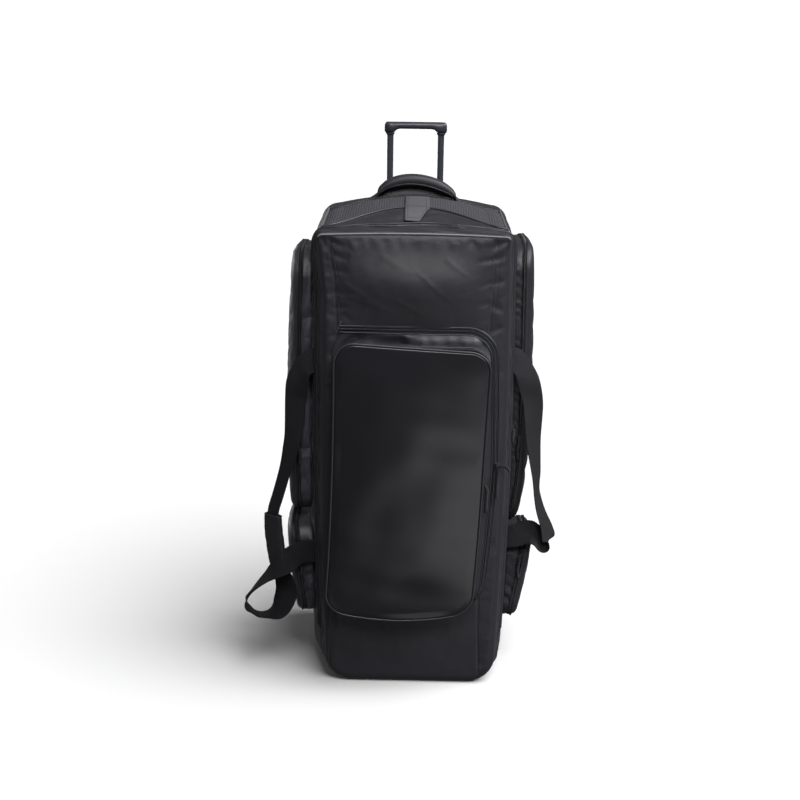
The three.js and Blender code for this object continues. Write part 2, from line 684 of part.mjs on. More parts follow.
// Bezel: a curved plate on the rear top panel that the poles come out of
const BEZEL_HALF = 75;
const BEZEL_DEPTH = 30;
const BEZEL_PLATE = 4;
const bezelRight = archPlace(POLE_Y, BEZEL_HALF);
const bezelPlaces = spread(bezelRight, LOOP_LENGTH - bezelRight, 8);
const bezelFront = even(POLE_Y - BEZEL_DEPTH / 2);
const bezelRear = even(POLE_Y + BEZEL_DEPTH / 2);
const bezel = panel(bezelPlaces, bezelFront, bezelRear, 1, BEZEL_PLATE, SEAT + BEZEL_PLATE);
add("trolley_bezel", withPoleHoles(bezel, 2 * POLE_CLEARANCE), PLASTIC);

// Grab handle: a padded arch over the top end, flattened at its feet
const GRAB_Y = 92;
const GRAB_HALF = 80;
const GRAB_APEX = 1029;
const GRAB_SQUARENESS = 0.55;
const GRAB_FOOT_SHARE = 0.03;
const GRAB_RINGS = [
  { t: 0, wide: 26, thick: 8 },
  { t: 0.08, wide: 24, thick: 12 },
  { t: 0.22, wide: 24, thick: 17 },
  { t: 0.5, wide: 25, thick: 18 },
  { t: 0.78, wide: 24, thick: 17 },
  { t: 0.92, wide: 24, thick: 12 },
  { t: 1, wide: 26, thick: 8 },
];
const grabFoot = skin(GRAB_Y, archPlace(GRAB_Y, GRAB_HALF)).z + GAP + GRAB_RINGS[0].thick / 2;
const grabAt = (t) => {
  const x = GRAB_HALF * (2 * t - 1);
  return vec(x, GRAB_Y, grabFoot + (GRAB_APEX - grabFoot) * Math.sin(Math.PI * t) ** GRAB_SQUARENESS);
};
const GRAB_SIDES = 8;
const grabRings = spread(0, GRAB_RINGS.length - 1, 12).map((place) => {
  const t = smooth(GRAB_RINGS, "t", place);
  const ahead = grabAt(Math.min(t + NUDGE, 1)).sub(grabAt(Math.max(t - NUDGE, 0)));
  const flat = Math.min(t, 1 - t) < GRAB_FOOT_SHARE ? 0 : 1;
  const up = vec(-ahead.z * flat, 0, ahead.x).normalize();
  return steps(GRAB_SIDES).slice(1).map((turn) => {
    const angle = turn * Math.PI * 2;
    const wide = (smooth(GRAB_RINGS, "wide", place) / 2) * Math.cos(angle);
    const thick = (smooth(GRAB_RINGS, "thick", place) / 2) * Math.sin(angle);
    return grabAt(t).add(vec(0, wide, 0)).addScaledVector(up, thick);
  });
});
add("grab_handle", loft(grabRings), WEBBING);

// Wheels, their forks on the sloping base, and plain axles
const WHEEL_HALF = WHEEL_WIDTH / 2;
const WHEEL_PROFILE = [
  { radius: AXLE_RADIUS + HUB_CLEARANCE, side: WHEEL_HALF + HUB_PROUD },
  { radius: HUB_RADIUS, side: WHEEL_HALF + HUB_PROUD },
  { radius: WHEEL_RADIUS - 9, side: WHEEL_HALF - 2 },
  { radius: WHEEL_RADIUS - 3, side: WHEEL_HALF },
  { radius: WHEEL_RADIUS, side: WHEEL_HALF - 5 },
];
const wheelNear = WHEEL_PROFILE.map(({ radius, side }) => new THREE.Vector2(radius, -side));
const wheelFar = WHEEL_PROFILE.map(({ radius, side }) => new THREE.Vector2(radius, side)).reverse();
const wheelLoop = [...wheelNear, ...wheelFar, wheelNear[0]];
const SLOPE_LIFT = (GAP + BRACKET_PLATE / 2) * Math.SQRT2;
const EAR_X = WHEEL_HALF + HUB_PROUD + EAR_CLEARANCE + EAR_THICKNESS / 2;
const FORK_WIDTH = 2 * EAR_X + EAR_THICKNESS;
const PLATE_Y = (WHEEL_Y + WHEEL_Z + SLOPE_START_Y + SLOPE_LIFT) / 2;
const PLATE_Z = PLATE_Y - SLOPE_START_Y - SLOPE_LIFT;
const EAR_REACH = Math.hypot(WHEEL_Y - PLATE_Y, WHEEL_Z - PLATE_Z);

function forkEar() {
  const ear = new THREE.Shape();
  ear.moveTo(-EAR_FOOT, -BRACKET_PLATE / 4);
  ear.lineTo(-EAR_TIP, EAR_REACH);
  ear.absarc(0, EAR_REACH, EAR_TIP, Math.PI, 0, true);
  ear.lineTo(EAR_FOOT, -BRACKET_PLATE / 4);
  const options = { depth: EAR_THICKNESS, bevelEnabled: false, curveSegments: 4 };
  return new THREE.ExtrudeGeometry(ear, options).rotateY(Math.PI / 2).rotateX(-Math.PI / 4);
}

function rod(radius, length, x) {
  const bar = new THREE.CylinderGeometry(radius, radius, length, 12);
  return bar.rotateZ(Math.PI / 2).translate(x, WHEEL_Y, WHEEL_Z);
}

for (const side of [-1, 1]) {
  const end = side < 0 ? "left" : "right";
  const x = side * WHEEL_X;
  const wheel = new THREE.LatheGeometry(wheelLoop, 16).rotateZ(-Math.PI / 2);
  add(`wheel_${end}`, wheel.translate(x, WHEEL_Y, WHEEL_Z), RUBBER);

  const plate = new THREE.BoxGeometry(FORK_WIDTH, BRACKET_LENGTH, BRACKET_PLATE);
  let fork = solid(plate.rotateX(Math.PI / 4).translate(x, PLATE_Y, PLATE_Z));
  for (const hand of [-1, 1]) {
    const ear = forkEar().translate(x + hand * EAR_X - EAR_THICKNESS / 2, PLATE_Y, PLATE_Z);
    fork = fork.add(solid(ear));
  }
  fork = fork.subtract(solid(rod(AXLE_RADIUS + AXLE_CLEARANCE, 2 * FORK_WIDTH, x)));
  add(`wheel_bracket_${end}`, fromSolid(fork), PLASTIC);
  add(`axle_${end}`, rod(AXLE_RADIUS, FORK_WIDTH + 2 * AXLE_END, x), STEEL);
}

// Carry straps, sewn to the sides beside the main zip
const RIGHT_STRAP = [
  { x: 205.8, y: -97, z: 678, wx: 0, wy: 0, wz: 1, width: STRAP_WIDTH },
  { x: 222, y: -97, z: 678, wx: 0.08, wy: 0, wz: 1, width: STRAP_WIDTH },
  { x: 239, y: -98, z: 657, wx: 0.7, wy: -0.1, wz: 0.6, width: STRAP_WIDTH },
  { x: 249, y: -98, z: 622, wx: 1, wy: 0, wz: 0.3, width: 46 },
  { x: 254, y: -94, z: 580, wx: 1, wy: 0.1, wz: 0, width: 44 },
  { x: 257, y: -91, z: 536, wx: 0.95, wy: 0.25, wz: 0, width: 44 },
  { x: 260, y: -88, z: 492, wx: 0.85, wy: 0.5, wz: 0, width: 44 },
  { x: 264, y: -85, z: 448, wx: 0.6, wy: 0.75, wz: 0, width: 46 },
  { x: 267, y: -83, z: 410, wx: 0.3, wy: 0.95, wz: 0, width: STRAP_WIDTH },
  { x: 273, y: -82, z: 372, wx: 0.35, wy: 0.9, wz: 0, width: STRAP_WIDTH },
  { x: 284, y: -82, z: 335, wx: 0.4, wy: 0.9, wz: 0, width: STRAP_WIDTH },
  { x: 295, y: -83, z: 306, wx: 0.3, wy: 0.95, wz: 0, width: STRAP_WIDTH },
  { x: 289, y: -85, z: 289, wx: 0, wy: 1, wz: 0.1, width: STRAP_WIDTH },
  { x: 272, y: -88, z: 306, wx: -0.2, wy: 0.9, wz: 0.25, width: STRAP_WIDTH },
  { x: 251, y: -92, z: 322, wx: -0.2, wy: 0.6, wz: 0.6, width: STRAP_WIDTH },
  { x: 228, y: -97, z: 310, wx: -0.05, wy: 0.1, wz: 1, width: STRAP_WIDTH },
  { x: 205.4, y: -97, z: 310, wx: 0, wy: 0, wz: 1, width: STRAP_WIDTH },
];
const LEFT_STRAP = [
  { x: -205.8, y: -97, z: 680, wx: 0, wy: 0, wz: 1, width: STRAP_WIDTH },
  { x: -222, y: -97, z: 680, wx: -0.08, wy: 0, wz: 1, width: STRAP_WIDTH },
  { x: -238, y: -98, z: 664, wx: -0.7, wy: -0.1, wz: 0.6, width: STRAP_WIDTH },
  { x: -245, y: -98, z: 632, wx: -1, wy: 0, wz: 0.3, width: 46 },
  { x: -247, y: -94, z: 588, wx: -1, wy: 0.1, wz: 0, width: 44 },
  { x: -246, y: -92, z: 536, wx: -0.95, wy: 0.3, wz: 0, width: 42 },
  { x: -250, y: -94, z: 490, wx: -0.8, wy: 0.5, wz: 0, width: 38 },
  { x: -261, y: -96, z: 450, wx: -0.7, wy: 0.6, wz: 0, width: 34 },
  { x: -275, y: -98, z: 398, wx: -0.7, wy: 0.5, wz: 0, width: 30 },
  { x: -286, y: -99, z: 352, wx: -0.8, wy: 0.4, wz: 0, width: 27 },
  { x: -284, y: -99, z: 297, wx: -0.9, wy: 0.3, wz: 0, width: 27 },
  { x: -277, y: -97, z: 238, wx: -0.9, wy: 0.3, wz: 0, width: 27 },
  { x: -268, y: -92, z: 201, wx: -0.9, wy: 0.4, wz: 0, width: 40 },
  { x: -268, y: -86, z: 159, wx: -0.8, wy: 0.6, wz: 0, width: 48 },
  { x: -283, y: -84, z: 127, wx: -0.4, wy: 0.9, wz: 0, width: STRAP_WIDTH },
  { x: -309, y: -88, z: 118, wx: 0, wy: 0.95, wz: 0.2, width: STRAP_WIDTH },
  { x: -336, y: -98, z: 136, wx: 0.2, wy: 0.9, wz: 0.3, width: STRAP_WIDTH },
  { x: -343, y: -110, z: 164, wx: 0.15, wy: 0.85, wz: 0.4, width: STRAP_WIDTH },
  { x: -325, y: -122, z: 198, wx: 0.2, wy: 0.7, wz: 0.55, width: STRAP_WIDTH },
  { x: -288, y: -126, z: 232, wx: 0.2, wy: 0.45, wz: 0.8, width: STRAP_WIDTH },
  { x: -250, y: -114, z: 258, wx: 0.1, wy: 0.25, wz: 0.95, width: STRAP_WIDTH },
  { x: -226, y: -97, z: 268, wx: 0.03, wy: 0.1, wz: 1, width: STRAP_WIDTH },
  { x: -205, y: -97, z: 268, wx: 0, wy: 0, wz: 1, width: STRAP_WIDTH },
];
add("carry_strap_right", strap(RIGHT_STRAP, STRAP_THICKNESS, 2), WEBBING);
add("carry_strap_left", strap(LEFT_STRAP, STRAP_THICKNESS, 2), WEBBING);

// Handle wrap: a padded sleeve round the left strap
const WRAP_FROM = 9;
const WRAP_TO = 10.95;
const WRAP_WALL = 5;
const WRAP_HALF_WIDTH = 20;
const WRAP_HALF_DEPTH = 7.4;
const WRAP_SQUARENESS = 0.55;
const wrapRings = spread(WRAP_FROM, WRAP_TO, 4).map((place) => {
  const { at } = strapFrame(LEFT_STRAP, place);
  return spread(0, 2 * Math.PI, 10).slice(1).map((turn) => {
    const square = (value) => Math.sign(value) * Math.abs(value) ** WRAP_SQUARENESS;
    return at(WRAP_HALF_WIDTH * square(Math.cos(turn)), WRAP_HALF_DEPTH * square(Math.sin(turn)));
  });
});
add("handle_wrap", wall(wrapRings, WRAP_WALL, ALONG_Z, true), POLYESTER);

// Webbing tab over the top end, from the grab handle to the zip
const TAB_FRONT_Y = -100;
const TAB_REAR_Y = 72;
const TAB_THICKNESS = 2;
const tabRight = archPlace(0, STRAP_WIDTH / 2);
const tabPlaces = spread(tabRight, LOOP_LENGTH - tabRight, 2);
const tab = panel(tabPlaces, even(TAB_FRONT_Y), even(TAB_REAR_Y), 8, TAB_THICKNESS, SEAT + TAB_THICKNESS);
add("top_tab", tab, TAB_WEBBING);

// Piping along the front edge of the lid's top and along the shoulder seams
const pipingLift = PIPING_RADIUS + SEAT;
const PIPING_TURN = Math.PI / 3;
const LID_PIPING_END = 3.42;
const LID_PIPING_LIFT = 1.7;
const lidPiping = spread(LID_PIPING_END, LOOP_LENGTH - LID_PIPING_END, 18).map((place) => {
  const reach = RIM_RADIUS + LID_PIPING_LIFT;
  const point = outline(LID_EDGE_Y, place, RIM_RADIUS - reach * Math.cos(PIPING_TURN));
  return point.setY(LID_EDGE_Y - reach * Math.sin(PIPING_TURN));
});
add("piping_lid", tube(lidPiping, PIPING_RADIUS, 18), PIPING);
const SHOULDER_PIPING_START = -101;
const SHOULDER_PIPING_END = 118;
for (const side of [-1, 1]) {
  const place = LOOP_LENGTH / 2 + side * (SHOULDER_SEAM - LOOP_LENGTH / 2);
  const run = spread(SHOULDER_PIPING_START, SHOULDER_PIPING_END, 8).map((y) => skin(y, place, pipingLift));
  add(`piping_shoulder_${side < 0 ? "left" : "right"}`, tube(run, PIPING_RADIUS, 8), PIPING);
}

// Piping round the front pocket's face
const facePiping = roundedRect(frontShape, -pipingLift, FRONT_COUNTS)
  .map(([a, b]) => onLargePocket(a, b, frontShape.depth(b) - FRONT_POCKET.rim));
add("piping_pocket_front", hoop(facePiping, PIPING_RADIUS), PIPING);

// A zip strip that lies on a pocket's gusset between two places of its outline
function zipStrip(shape, counts, place, from, to, height) {
  const near = roundedRect(shape, -SEAT, counts);
  const far = roundedRect(shape, -SEAT - ZIP_THICKNESS, counts);
  const rings = [];
  for (let k = from; k <= to; k += 1) {
    const i = ((k % near.length) + near.length) % near.length;
    const middle = height(near[i][1]);
    const low = middle - ZIP_WIDTH / 2;
    const high = middle + ZIP_WIDTH / 2;
    const corner = ([a, b], level) => place(a, b, level, 1);
    rings.push([corner(near[i], low), corner(near[i], high), corner(far[i], high), corner(far[i], low)]);
  }
  return rings;
}
const { right: RIGHT_COUNT, across: ACROSS_COUNT, round: ROUND_COUNT } = FRONT_COUNTS;
const topEnd = RIGHT_COUNT + ROUND_COUNT + ACROSS_COUNT;
const largeZip = zipStrip(largeShape, FRONT_COUNTS, onLid, 0, topEnd, even(LARGE_ZIP_HEIGHT));
add("zip_pocket_large", loft(largeZip), ZIP_TAPE);
const frontZip = zipStrip(frontShape, FRONT_COUNTS, onLargePocket, 0, topEnd, even(FRONT_ZIP_HEIGHT));
add("zip_pocket_front", loft(frontZip), ZIP_TAPE);

for (const row of SIDE_POCKETS) {
  const { shape, place, counts } = sidePocket(row);
  const from = counts.right + counts.round;
  const to = from + counts.across + counts.round + counts.left + counts.round;
  const height = (b) => SIDE_ZIP_LEVEL * (shape.depth(b) - shape.rim);
  const rings = zipStrip(shape, counts, place, from, to, height);
  add(`zip_side_${row.name}`, loft(row.side < 0 ? turned(rings) : rings), ZIP_TAPE);
}

// Zip pulls: a slider with a short cord tab that hangs from it
const PULL_ROWS = [
  { s: 3, wide: 9, thick: 5 },
  { s: -6, wide: 9, thick: 5 },
  { s: -8, wide: 4, thick: 3 },
  { s: -14, wide: 5, thick: 3.4 },
  { s: -38, wide: 6, thick: 4 },
  { s: -44, wide: 4, thick: 3 },
];
function zipPull(x, y, z, out) {
  const across = vec(0, 0, 1).cross(out).normalize();
  return loft(PULL_ROWS.map(({ s, wide, thick }) => {
    const foot = vec(x, y, z + s);
    const corner = (a, b) => {
      const aside = foot.clone().addScaledVector(across, (a * wide) / 2);
      return aside.addScaledVector(out, b * thick);
    };
    return [corner(1, 1), corner(-1, 1), corner(-1, 0), corner(1, 0)];
  }));
}

const zipTop = SEAT + ZIP_THICKNESS + GAP;
const FACING_RIGHT = vec(1, 0, 0);
const FACING_FRONT = vec(0, -1, 0);
const MAIN_PULL_Z = 555;
const mainPullY = (ZIP_FRONT_Y + ZIP_REAR_Y) / 2;
const mainPullX = sideFace(mainPullY + PULL_ROWS[0].wide / 2, MAIN_PULL_Z) + GAP;
add("zip_pull_main", zipPull(mainPullX, mainPullY, MAIN_PULL_Z, FACING_RIGHT), ZIP_TAPE);
const LARGE_PULL_Z = 480;
const largePull = onLid(LARGE_POCKET.halfX + zipTop, LARGE_PULL_Z - LARGE_POCKET.z, LARGE_ZIP_HEIGHT);
add("zip_pull_pocket_large", zipPull(largePull.x, largePull.y, largePull.z, FACING_RIGHT), ZIP_TAPE);
const FRONT_PULL_Z = 450;
const frontPullA = FRONT_POCKET.halfX + zipTop;
const frontPull = onLargePocket(frontPullA, FRONT_PULL_Z - FRONT_POCKET.z, FRONT_ZIP_HEIGHT);
add("zip_pull_pocket_front", zipPull(frontPull.x, frontPull.y, frontPull.z, FACING_RIGHT), ZIP_TAPE);
for (const row of SIDE_POCKETS) {
  const { shape, place } = sidePocket(row);
  const b = row.pullZ - row.z;
  const at = place(-row.halfY - zipTop, b, SIDE_ZIP_LEVEL * (shape.depth(b) - shape.rim), 1);
  add(`zip_pull_${row.name}`, zipPull(at.x, at.y, at.z, FACING_FRONT), ZIP_TAPE);
}

export default group;
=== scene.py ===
# Wheeled coffin bag: cloth, webbing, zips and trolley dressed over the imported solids, sizes in millimetres.
import json
import math

import bpy
import numpy as np
from mathutils import Matrix, Vector

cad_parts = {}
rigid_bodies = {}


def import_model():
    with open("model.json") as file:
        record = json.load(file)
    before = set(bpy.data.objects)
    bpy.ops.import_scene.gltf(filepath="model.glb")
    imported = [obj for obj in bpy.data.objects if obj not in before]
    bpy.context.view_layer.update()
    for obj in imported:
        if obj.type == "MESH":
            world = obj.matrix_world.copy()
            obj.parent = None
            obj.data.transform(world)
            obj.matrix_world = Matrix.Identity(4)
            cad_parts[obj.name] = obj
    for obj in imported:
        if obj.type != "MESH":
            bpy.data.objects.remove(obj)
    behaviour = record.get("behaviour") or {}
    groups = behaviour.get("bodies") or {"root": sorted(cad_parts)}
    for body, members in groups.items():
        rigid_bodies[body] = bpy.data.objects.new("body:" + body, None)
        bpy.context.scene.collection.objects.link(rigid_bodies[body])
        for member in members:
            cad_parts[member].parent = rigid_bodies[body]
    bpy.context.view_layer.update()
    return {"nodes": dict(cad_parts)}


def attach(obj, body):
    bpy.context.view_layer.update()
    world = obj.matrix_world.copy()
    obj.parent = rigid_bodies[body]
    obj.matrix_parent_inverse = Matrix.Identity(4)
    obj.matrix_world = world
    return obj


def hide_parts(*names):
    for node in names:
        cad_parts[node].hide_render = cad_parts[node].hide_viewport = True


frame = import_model()
scene = bpy.context.scene
scene.view_settings.view_transform = "Standard"
MM = 0.001

# Camera at the photograph's angle
CAMERA_AT = (0.0, -2.50, 1.346)
FOCAL_SHARE = 1.54
PITCH = math.radians(17.1)
YAW = math.radians(0.55)
ROLL = math.radians(0.8)
SENSOR = 36


def make_camera():
    data = bpy.data.cameras.new("camera")
    data.sensor_width = SENSOR
    data.lens = FOCAL_SHARE * SENSOR
    forward = Vector((-math.sin(YAW) * math.cos(PITCH), math.cos(YAW) * math.cos(PITCH), -math.sin(PITCH)))
    level = Vector((math.cos(YAW), math.sin(YAW), 0))
    raised = level.cross(forward)
    right = level * math.cos(ROLL) + raised * math.sin(ROLL)
    up = raised * math.cos(ROLL) - level * math.sin(ROLL)
    turn = Matrix((right, up, -forward)).transposed()
    camera = bpy.data.objects.new("camera", data)
    camera.matrix_world = Matrix.Translation(CAMERA_AT) @ turn.to_4x4()
    scene.collection.objects.link(camera)
    scene.camera = camera


make_camera()


# Looks
def look(name, colour, roughness, sockets=()):
    made = bpy.data.materials.new(name)
    made.use_nodes = True
    shader = made.node_tree.nodes["Principled BSDF"]
    shader.inputs["Base Color"].default_value = (*colour, 1)
    shader.inputs["Roughness"].default_value = roughness
    for socket, value in dict(sockets).items():
        shader.inputs[socket].default_value = value
    return made


# A maths node: numbers go on its sockets and outputs are linked to them
def calculate(tree, operation, first, second):
    made = tree.nodes.new("ShaderNodeMath")
    made.operation = operation
    for socket, value in zip(made.inputs, (first, second)):
        if isinstance(value, (int, float)):
            socket.default_value = value
        else:
            tree.links.new(value, socket)
    return made.outputs[0]


def bump(material, height, strength, depth):
    tree = material.node_tree
    made = tree.nodes.new("ShaderNodeBump")
    made.inputs["Strength"].default_value = strength
    made.inputs["Distance"].default_value = depth
    tree.links.new(height, made.inputs["Height"])
    tree.links.new(made.outputs["Normal"], tree.nodes["Principled BSDF"].inputs["Normal"])


def noise(tree, coordinates, scale, detail):
    place = tree.nodes.new("ShaderNodeTexCoord")
    made = tree.nodes.new("ShaderNodeTexNoise")
    made.inputs["Scale"].default_value = scale
    made.inputs["Detail"].default_value = detail
    tree.links.new(place.outputs[coordinates], made.inputs["Vector"])
    return made.outputs[0]


SLUB_SCALE = 420


# Threads that cross at two pitches in metres, along the lengths a piece keeps in its UV map
def weave(material, weft, warp, strength, depth, slub=0.0):
    tree = material.node_tree
    place = tree.nodes.new("ShaderNodeTexCoord")
    split = tree.nodes.new("ShaderNodeSeparateXYZ")
    tree.links.new(place.outputs["UV"], split.inputs[0])
    waves = []
    for axis, pitch in (("X", weft), ("Y", warp)):
        turns = calculate(tree, "MULTIPLY", split.outputs[axis], 2 * math.pi / pitch)
        waves.append(calculate(tree, "SINE", turns, 0))
    height = calculate(tree, "MULTIPLY", *waves)
    if slub:
        uneven = calculate(tree, "MULTIPLY", noise(tree, "UV", SLUB_SCALE, 2), slub)
        height = calculate(tree, "ADD", height, uneven)
    bump(material, height, strength, depth)


# Multiplies a material's colour by a level that its nodes work out
def tint(material, level):
    tree = material.node_tree
    shader = tree.nodes["Principled BSDF"]
    made = tree.nodes.new("ShaderNodeVectorMath")
    made.operation = "SCALE"
    made.inputs[0].default_value = tuple(shader.inputs["Base Color"].default_value)[:3]
    tree.links.new(level, made.inputs["Scale"])
    tree.links.new(made.outputs[0], shader.inputs["Base Color"])


# Uneven dye or wear: the colour varies by a share over patches of a size
def mottle(material, scale, share):
    tree = material.node_tree
    swing = calculate(tree, "MULTIPLY", noise(tree, "Object", scale, 5), 2 * share)
    tint(material, calculate(tree, "ADD", swing, 1 - share))


# Painted shade: darkens a colour where a point attribute of the piece is high
def shade_by(material, attribute, share):
    tree = material.node_tree
    read = tree.nodes.new("ShaderNodeAttribute")
    read.attribute_name = attribute
    level = calculate(tree, "MULTIPLY_ADD", read.outputs["Fac"], -share)
    level.node.inputs[2].default_value = 1.0
    tint(material, level)


def grain(material, scale, strength, depth):
    bump(material, noise(material.node_tree, "Object", scale, 3), strength, depth)


SPECULAR = "Specular IOR Level"
POLYESTER = look("polyester", (0.0122, 0.0120, 0.0165), 0.46, {
    SPECULAR: 0.45, "Sheen Weight": 0.03, "Sheen Roughness": 0.5})
weave(POLYESTER, 0.0012, 0.0012, 0.35, 0.0002, 4.0)
mottle(POLYESTER, 9, 0.16)
VINYL = look("vinyl", (0.006, 0.0056, 0.008), 0.31, {SPECULAR: 0.5})
grain(VINYL, 900, 0.12, 0.0003)
SPACER = look("spacer mesh", (0.048, 0.047, 0.056), 0.65, {SPECULAR: 0.4})
# Painted shade: the net's colour is darkened almost to black in its holes, for the shade inside them
shade_by(SPACER, "hole", 0.97)
PIPING = look("piping", (0.018, 0.018, 0.022), 0.40, {SPECULAR: 0.45})
mottle(PIPING, 20, 0.15)
# Painted highlight: the same piping, coloured several times lighter where it runs along the top edges, for
# the light that falls on it from above
LIT_TOP_PIPING = look("top piping", (0.12, 0.12, 0.13), 0.36, {SPECULAR: 0.6})
mottle(LIT_TOP_PIPING, 20, 0.15)
WEBBING = look("webbing", (0.0085, 0.0083, 0.0110), 0.6, {SPECULAR: 0.22, "Sheen Weight": 0.02})
weave(WEBBING, 0.0034, 0.0017, 0.7, 0.0005)
mottle(WEBBING, 12, 0.15)
TAB_WEBBING = look("tab webbing", (0.076, 0.076, 0.082), 0.65, {SPECULAR: 0.3})
weave(TAB_WEBBING, 0.0034, 0.0017, 0.7, 0.0005)
ZIP_TAPE = look("zip tape", (0.003, 0.003, 0.004), 0.85, {SPECULAR: 0.06})
weave(ZIP_TAPE, 0.0016, 0.0012, 0.5, 0.0002)
COIL = look("zip coil", (0.012, 0.012, 0.014), 0.35)
PLASTIC = look("moulded plastic", (0.022, 0.022, 0.033), 0.38)
grain(PLASTIC, 1500, 0.10, 0.0003)
BASE_PLASTIC = look("base plastic", (0.014, 0.014, 0.015), 0.5)
grain(BASE_PLASTIC, 1200, 0.15, 0.0004)
RUBBER = look("rubber", (0.014, 0.014, 0.014), 0.75)
grain(RUBBER, 700, 0.2, 0.0004)
POLE = look("painted pole", (0.030, 0.033, 0.043), 0.30, {"Coat Weight": 0.2, "Coat Roughness": 0.2})
mottle(POLE, 30, 0.06)
CORD = look("pull cord", (0.016, 0.016, 0.020), 0.7, {SPECULAR: 0.3})
mottle(CORD, 120, 0.35)
STEEL = look("steel", (0.55, 0.55, 0.56), 0.35, {"Metallic": 1.0})
mottle(STEEL, 60, 0.1)
THREAD = look("thread", (0.045, 0.046, 0.050), 0.5)
mottle(THREAD, 80, 0.2)


# Meshes
def unit(vectors):
    return vectors / np.maximum(np.linalg.norm(vectors, axis=-1, keepdims=True), 1e-9)


# Share of a length that a value has run, held between 0 and 1
def ramp(value, length):
    return np.clip(value / length, 0, 1)


def bell(value, width):
    return np.exp(-(value / width) ** 2)


def dome(value, half):
    return np.clip(1 - (value / half) ** 2, 0, 1)


# Height of a rounded edge at a distance inside it
def round_over(depth, radius):
    drawn = np.clip(depth, 0, radius)
    return np.sqrt(np.clip(radius ** 2 - (radius - drawn) ** 2, 0, None))


# One angle a side round a ring
def turns(sides):
    return np.linspace(0, 2 * math.pi, sides, endpoint=False)


# Points or UVs from their separate coordinates
def coords(*parts):
    return np.stack(np.broadcast_arrays(*parts), axis=-1)


def grid_faces(rows, columns, wrap=False):
    spans = columns if wrap else columns - 1
    i, j = np.meshgrid(np.arange(rows - 1), np.arange(spans), indexing="ij")
    k = (j + 1) % columns
    quads = [i * columns + j, i * columns + k, (i + 1) * columns + k, (i + 1) * columns + j]
    return np.stack(quads, axis=-1).reshape(-1, 4)


# Faces of a tube of rings with both its ends closed
def capped_faces(rows, columns):
    faces = grid_faces(rows, columns, True).tolist()
    faces.append(list(range(columns))[::-1])
    faces.append(list(range((rows - 1) * columns, rows * columns)))
    return faces


# Turns the faces of a sheet so that they look away from a point inside the bag
def face_out(points, faces, inside):
    corners = points[faces]
    normals = np.cross(corners[:, 2] - corners[:, 0], corners[:, 3] - corners[:, 1])
    away = corners.mean(axis=1) - inside
    return faces[:, ::-1] if (normals * away).sum() < 0 else faces


def build(name, points, faces, material, body="bag", nodes=(), uvs=None):
    points = np.asarray(points, float).reshape(-1, 3)
    mesh = bpy.data.meshes.new(name)
    mesh.from_pydata((points * MM).tolist(), [], [list(map(int, face)) for face in faces])
    if uvs is not None:
        corners = np.empty(len(mesh.loops), int)
        mesh.loops.foreach_get("vertex_index", corners)
        layer = mesh.uv_layers.new(name="UVMap")
        layer.data.foreach_set("uv", (np.asarray(uvs).reshape(-1, 2) * MM)[corners].ravel())
    mesh.materials.append(material)
    mesh.shade_smooth()
    thing = bpy.data.objects.new(name, mesh)
    scene.collection.objects.link(thing)
    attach(thing, body)
    if nodes:
        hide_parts(*nodes)
    return thing


def thicken(thing, thickness):
    wall = thing.modifiers.new("wall", "SOLIDIFY")
    wall.thickness = thickness * MM
    wall.offset = -1
    wall.use_even_offset = False


def soften(thing, width, segments):
    edge = thing.modifiers.new("edge", "BEVEL")
    edge.width = width * MM
    edge.segments = segments
    edge.limit_method = "ANGLE"


INSIDE = np.array([0.0, 0.0, 480.0])


# A cloth panel from a grid of points: one wall that looks outwards
def panel(name, grid, material, slot, nodes=(), wall=1.6, wrap=False, uvs=None, inside=INSIDE):
    rows, columns = grid.shape[:2]
    points = grid.reshape(-1, 3)
    faces = face_out(points, grid_faces(rows, columns, wrap), inside)
    if uvs is None:
        uvs = np.stack([along(grid, 1), along(grid, 0)], axis=-1)
    thing = build(name, points, faces, material, nodes=nodes, uvs=uvs)
    if wall:
        thicken(thing, wall)
    return thing


def cloth_panel(name, grid, nodes, **rest):
    return panel(name, grid, POLYESTER, "polyester", nodes, **rest)


# Length run along one axis of a grid of points
def along(grid, axis):
    steps = np.linalg.norm(np.diff(grid, axis=axis), axis=-1)
    start = np.zeros_like(np.take(steps, [0], axis=axis))
    return np.concatenate([start, np.cumsum(steps, axis=axis)], axis=axis)


# Values of a line's columns at lengths along it
def sample(at, run, line):
    return np.stack([np.interp(at, run, column) for column in line.T], axis=1)


def resample(line, count):
    run = along(line, 0)
    return sample(np.linspace(0, run[-1], count + 1), run, line)


def smooth(values, place):
    last = len(values) - 1
    whole = np.clip(np.floor(place).astype(int), 0, last - 1)
    t = place - whole
    a, b, c, d = (values[np.clip(whole + k, 0, last)] for k in (-1, 0, 1, 2))
    return b + 0.5 * t * (c - a + t * (2 * a - 5 * b + 4 * c - d + t * (3 * b - a - 3 * c + d)))


# A smooth uneven field made of sine waves between two lengths
def ripple(seed, u, v, short, long, count=9):
    rng = np.random.default_rng(seed)
    total = np.zeros(np.broadcast(u, v).shape)
    for _ in range(count):
        heading = rng.uniform(0, 2 * math.pi)
        length = rng.uniform(short, long)
        phase = rng.uniform(0, 2 * math.pi)
        total += np.sin((u * math.cos(heading) + v * math.sin(heading)) * 2 * math.pi / length + phase)
    return total / math.sqrt(count)


# Folds from a table: start, end, width and height of each, fading out towards the end
def creases(u, v, table):
    total = np.zeros(np.broadcast(u, v).shape)
    for u0, v0, u1, v1, width, height in table:
        du = u1 - u0
        dv = v1 - v0
        t = np.clip(((u - u0) * du + (v - v0) * dv) / (du * du + dv * dv), 0, 1)
        away = np.hypot(u - u0 - t * du, v - v0 - t * dv)
        total += height * np.cos(t * math.pi / 2) * bell(away, width)
    return total


# Directions along a path, off its face and across it
def path_frame(points, outs):
    ahead = unit(np.gradient(points, axis=0))
    across = unit(np.cross(outs, ahead))
    return ahead, across, np.cross(ahead, across)


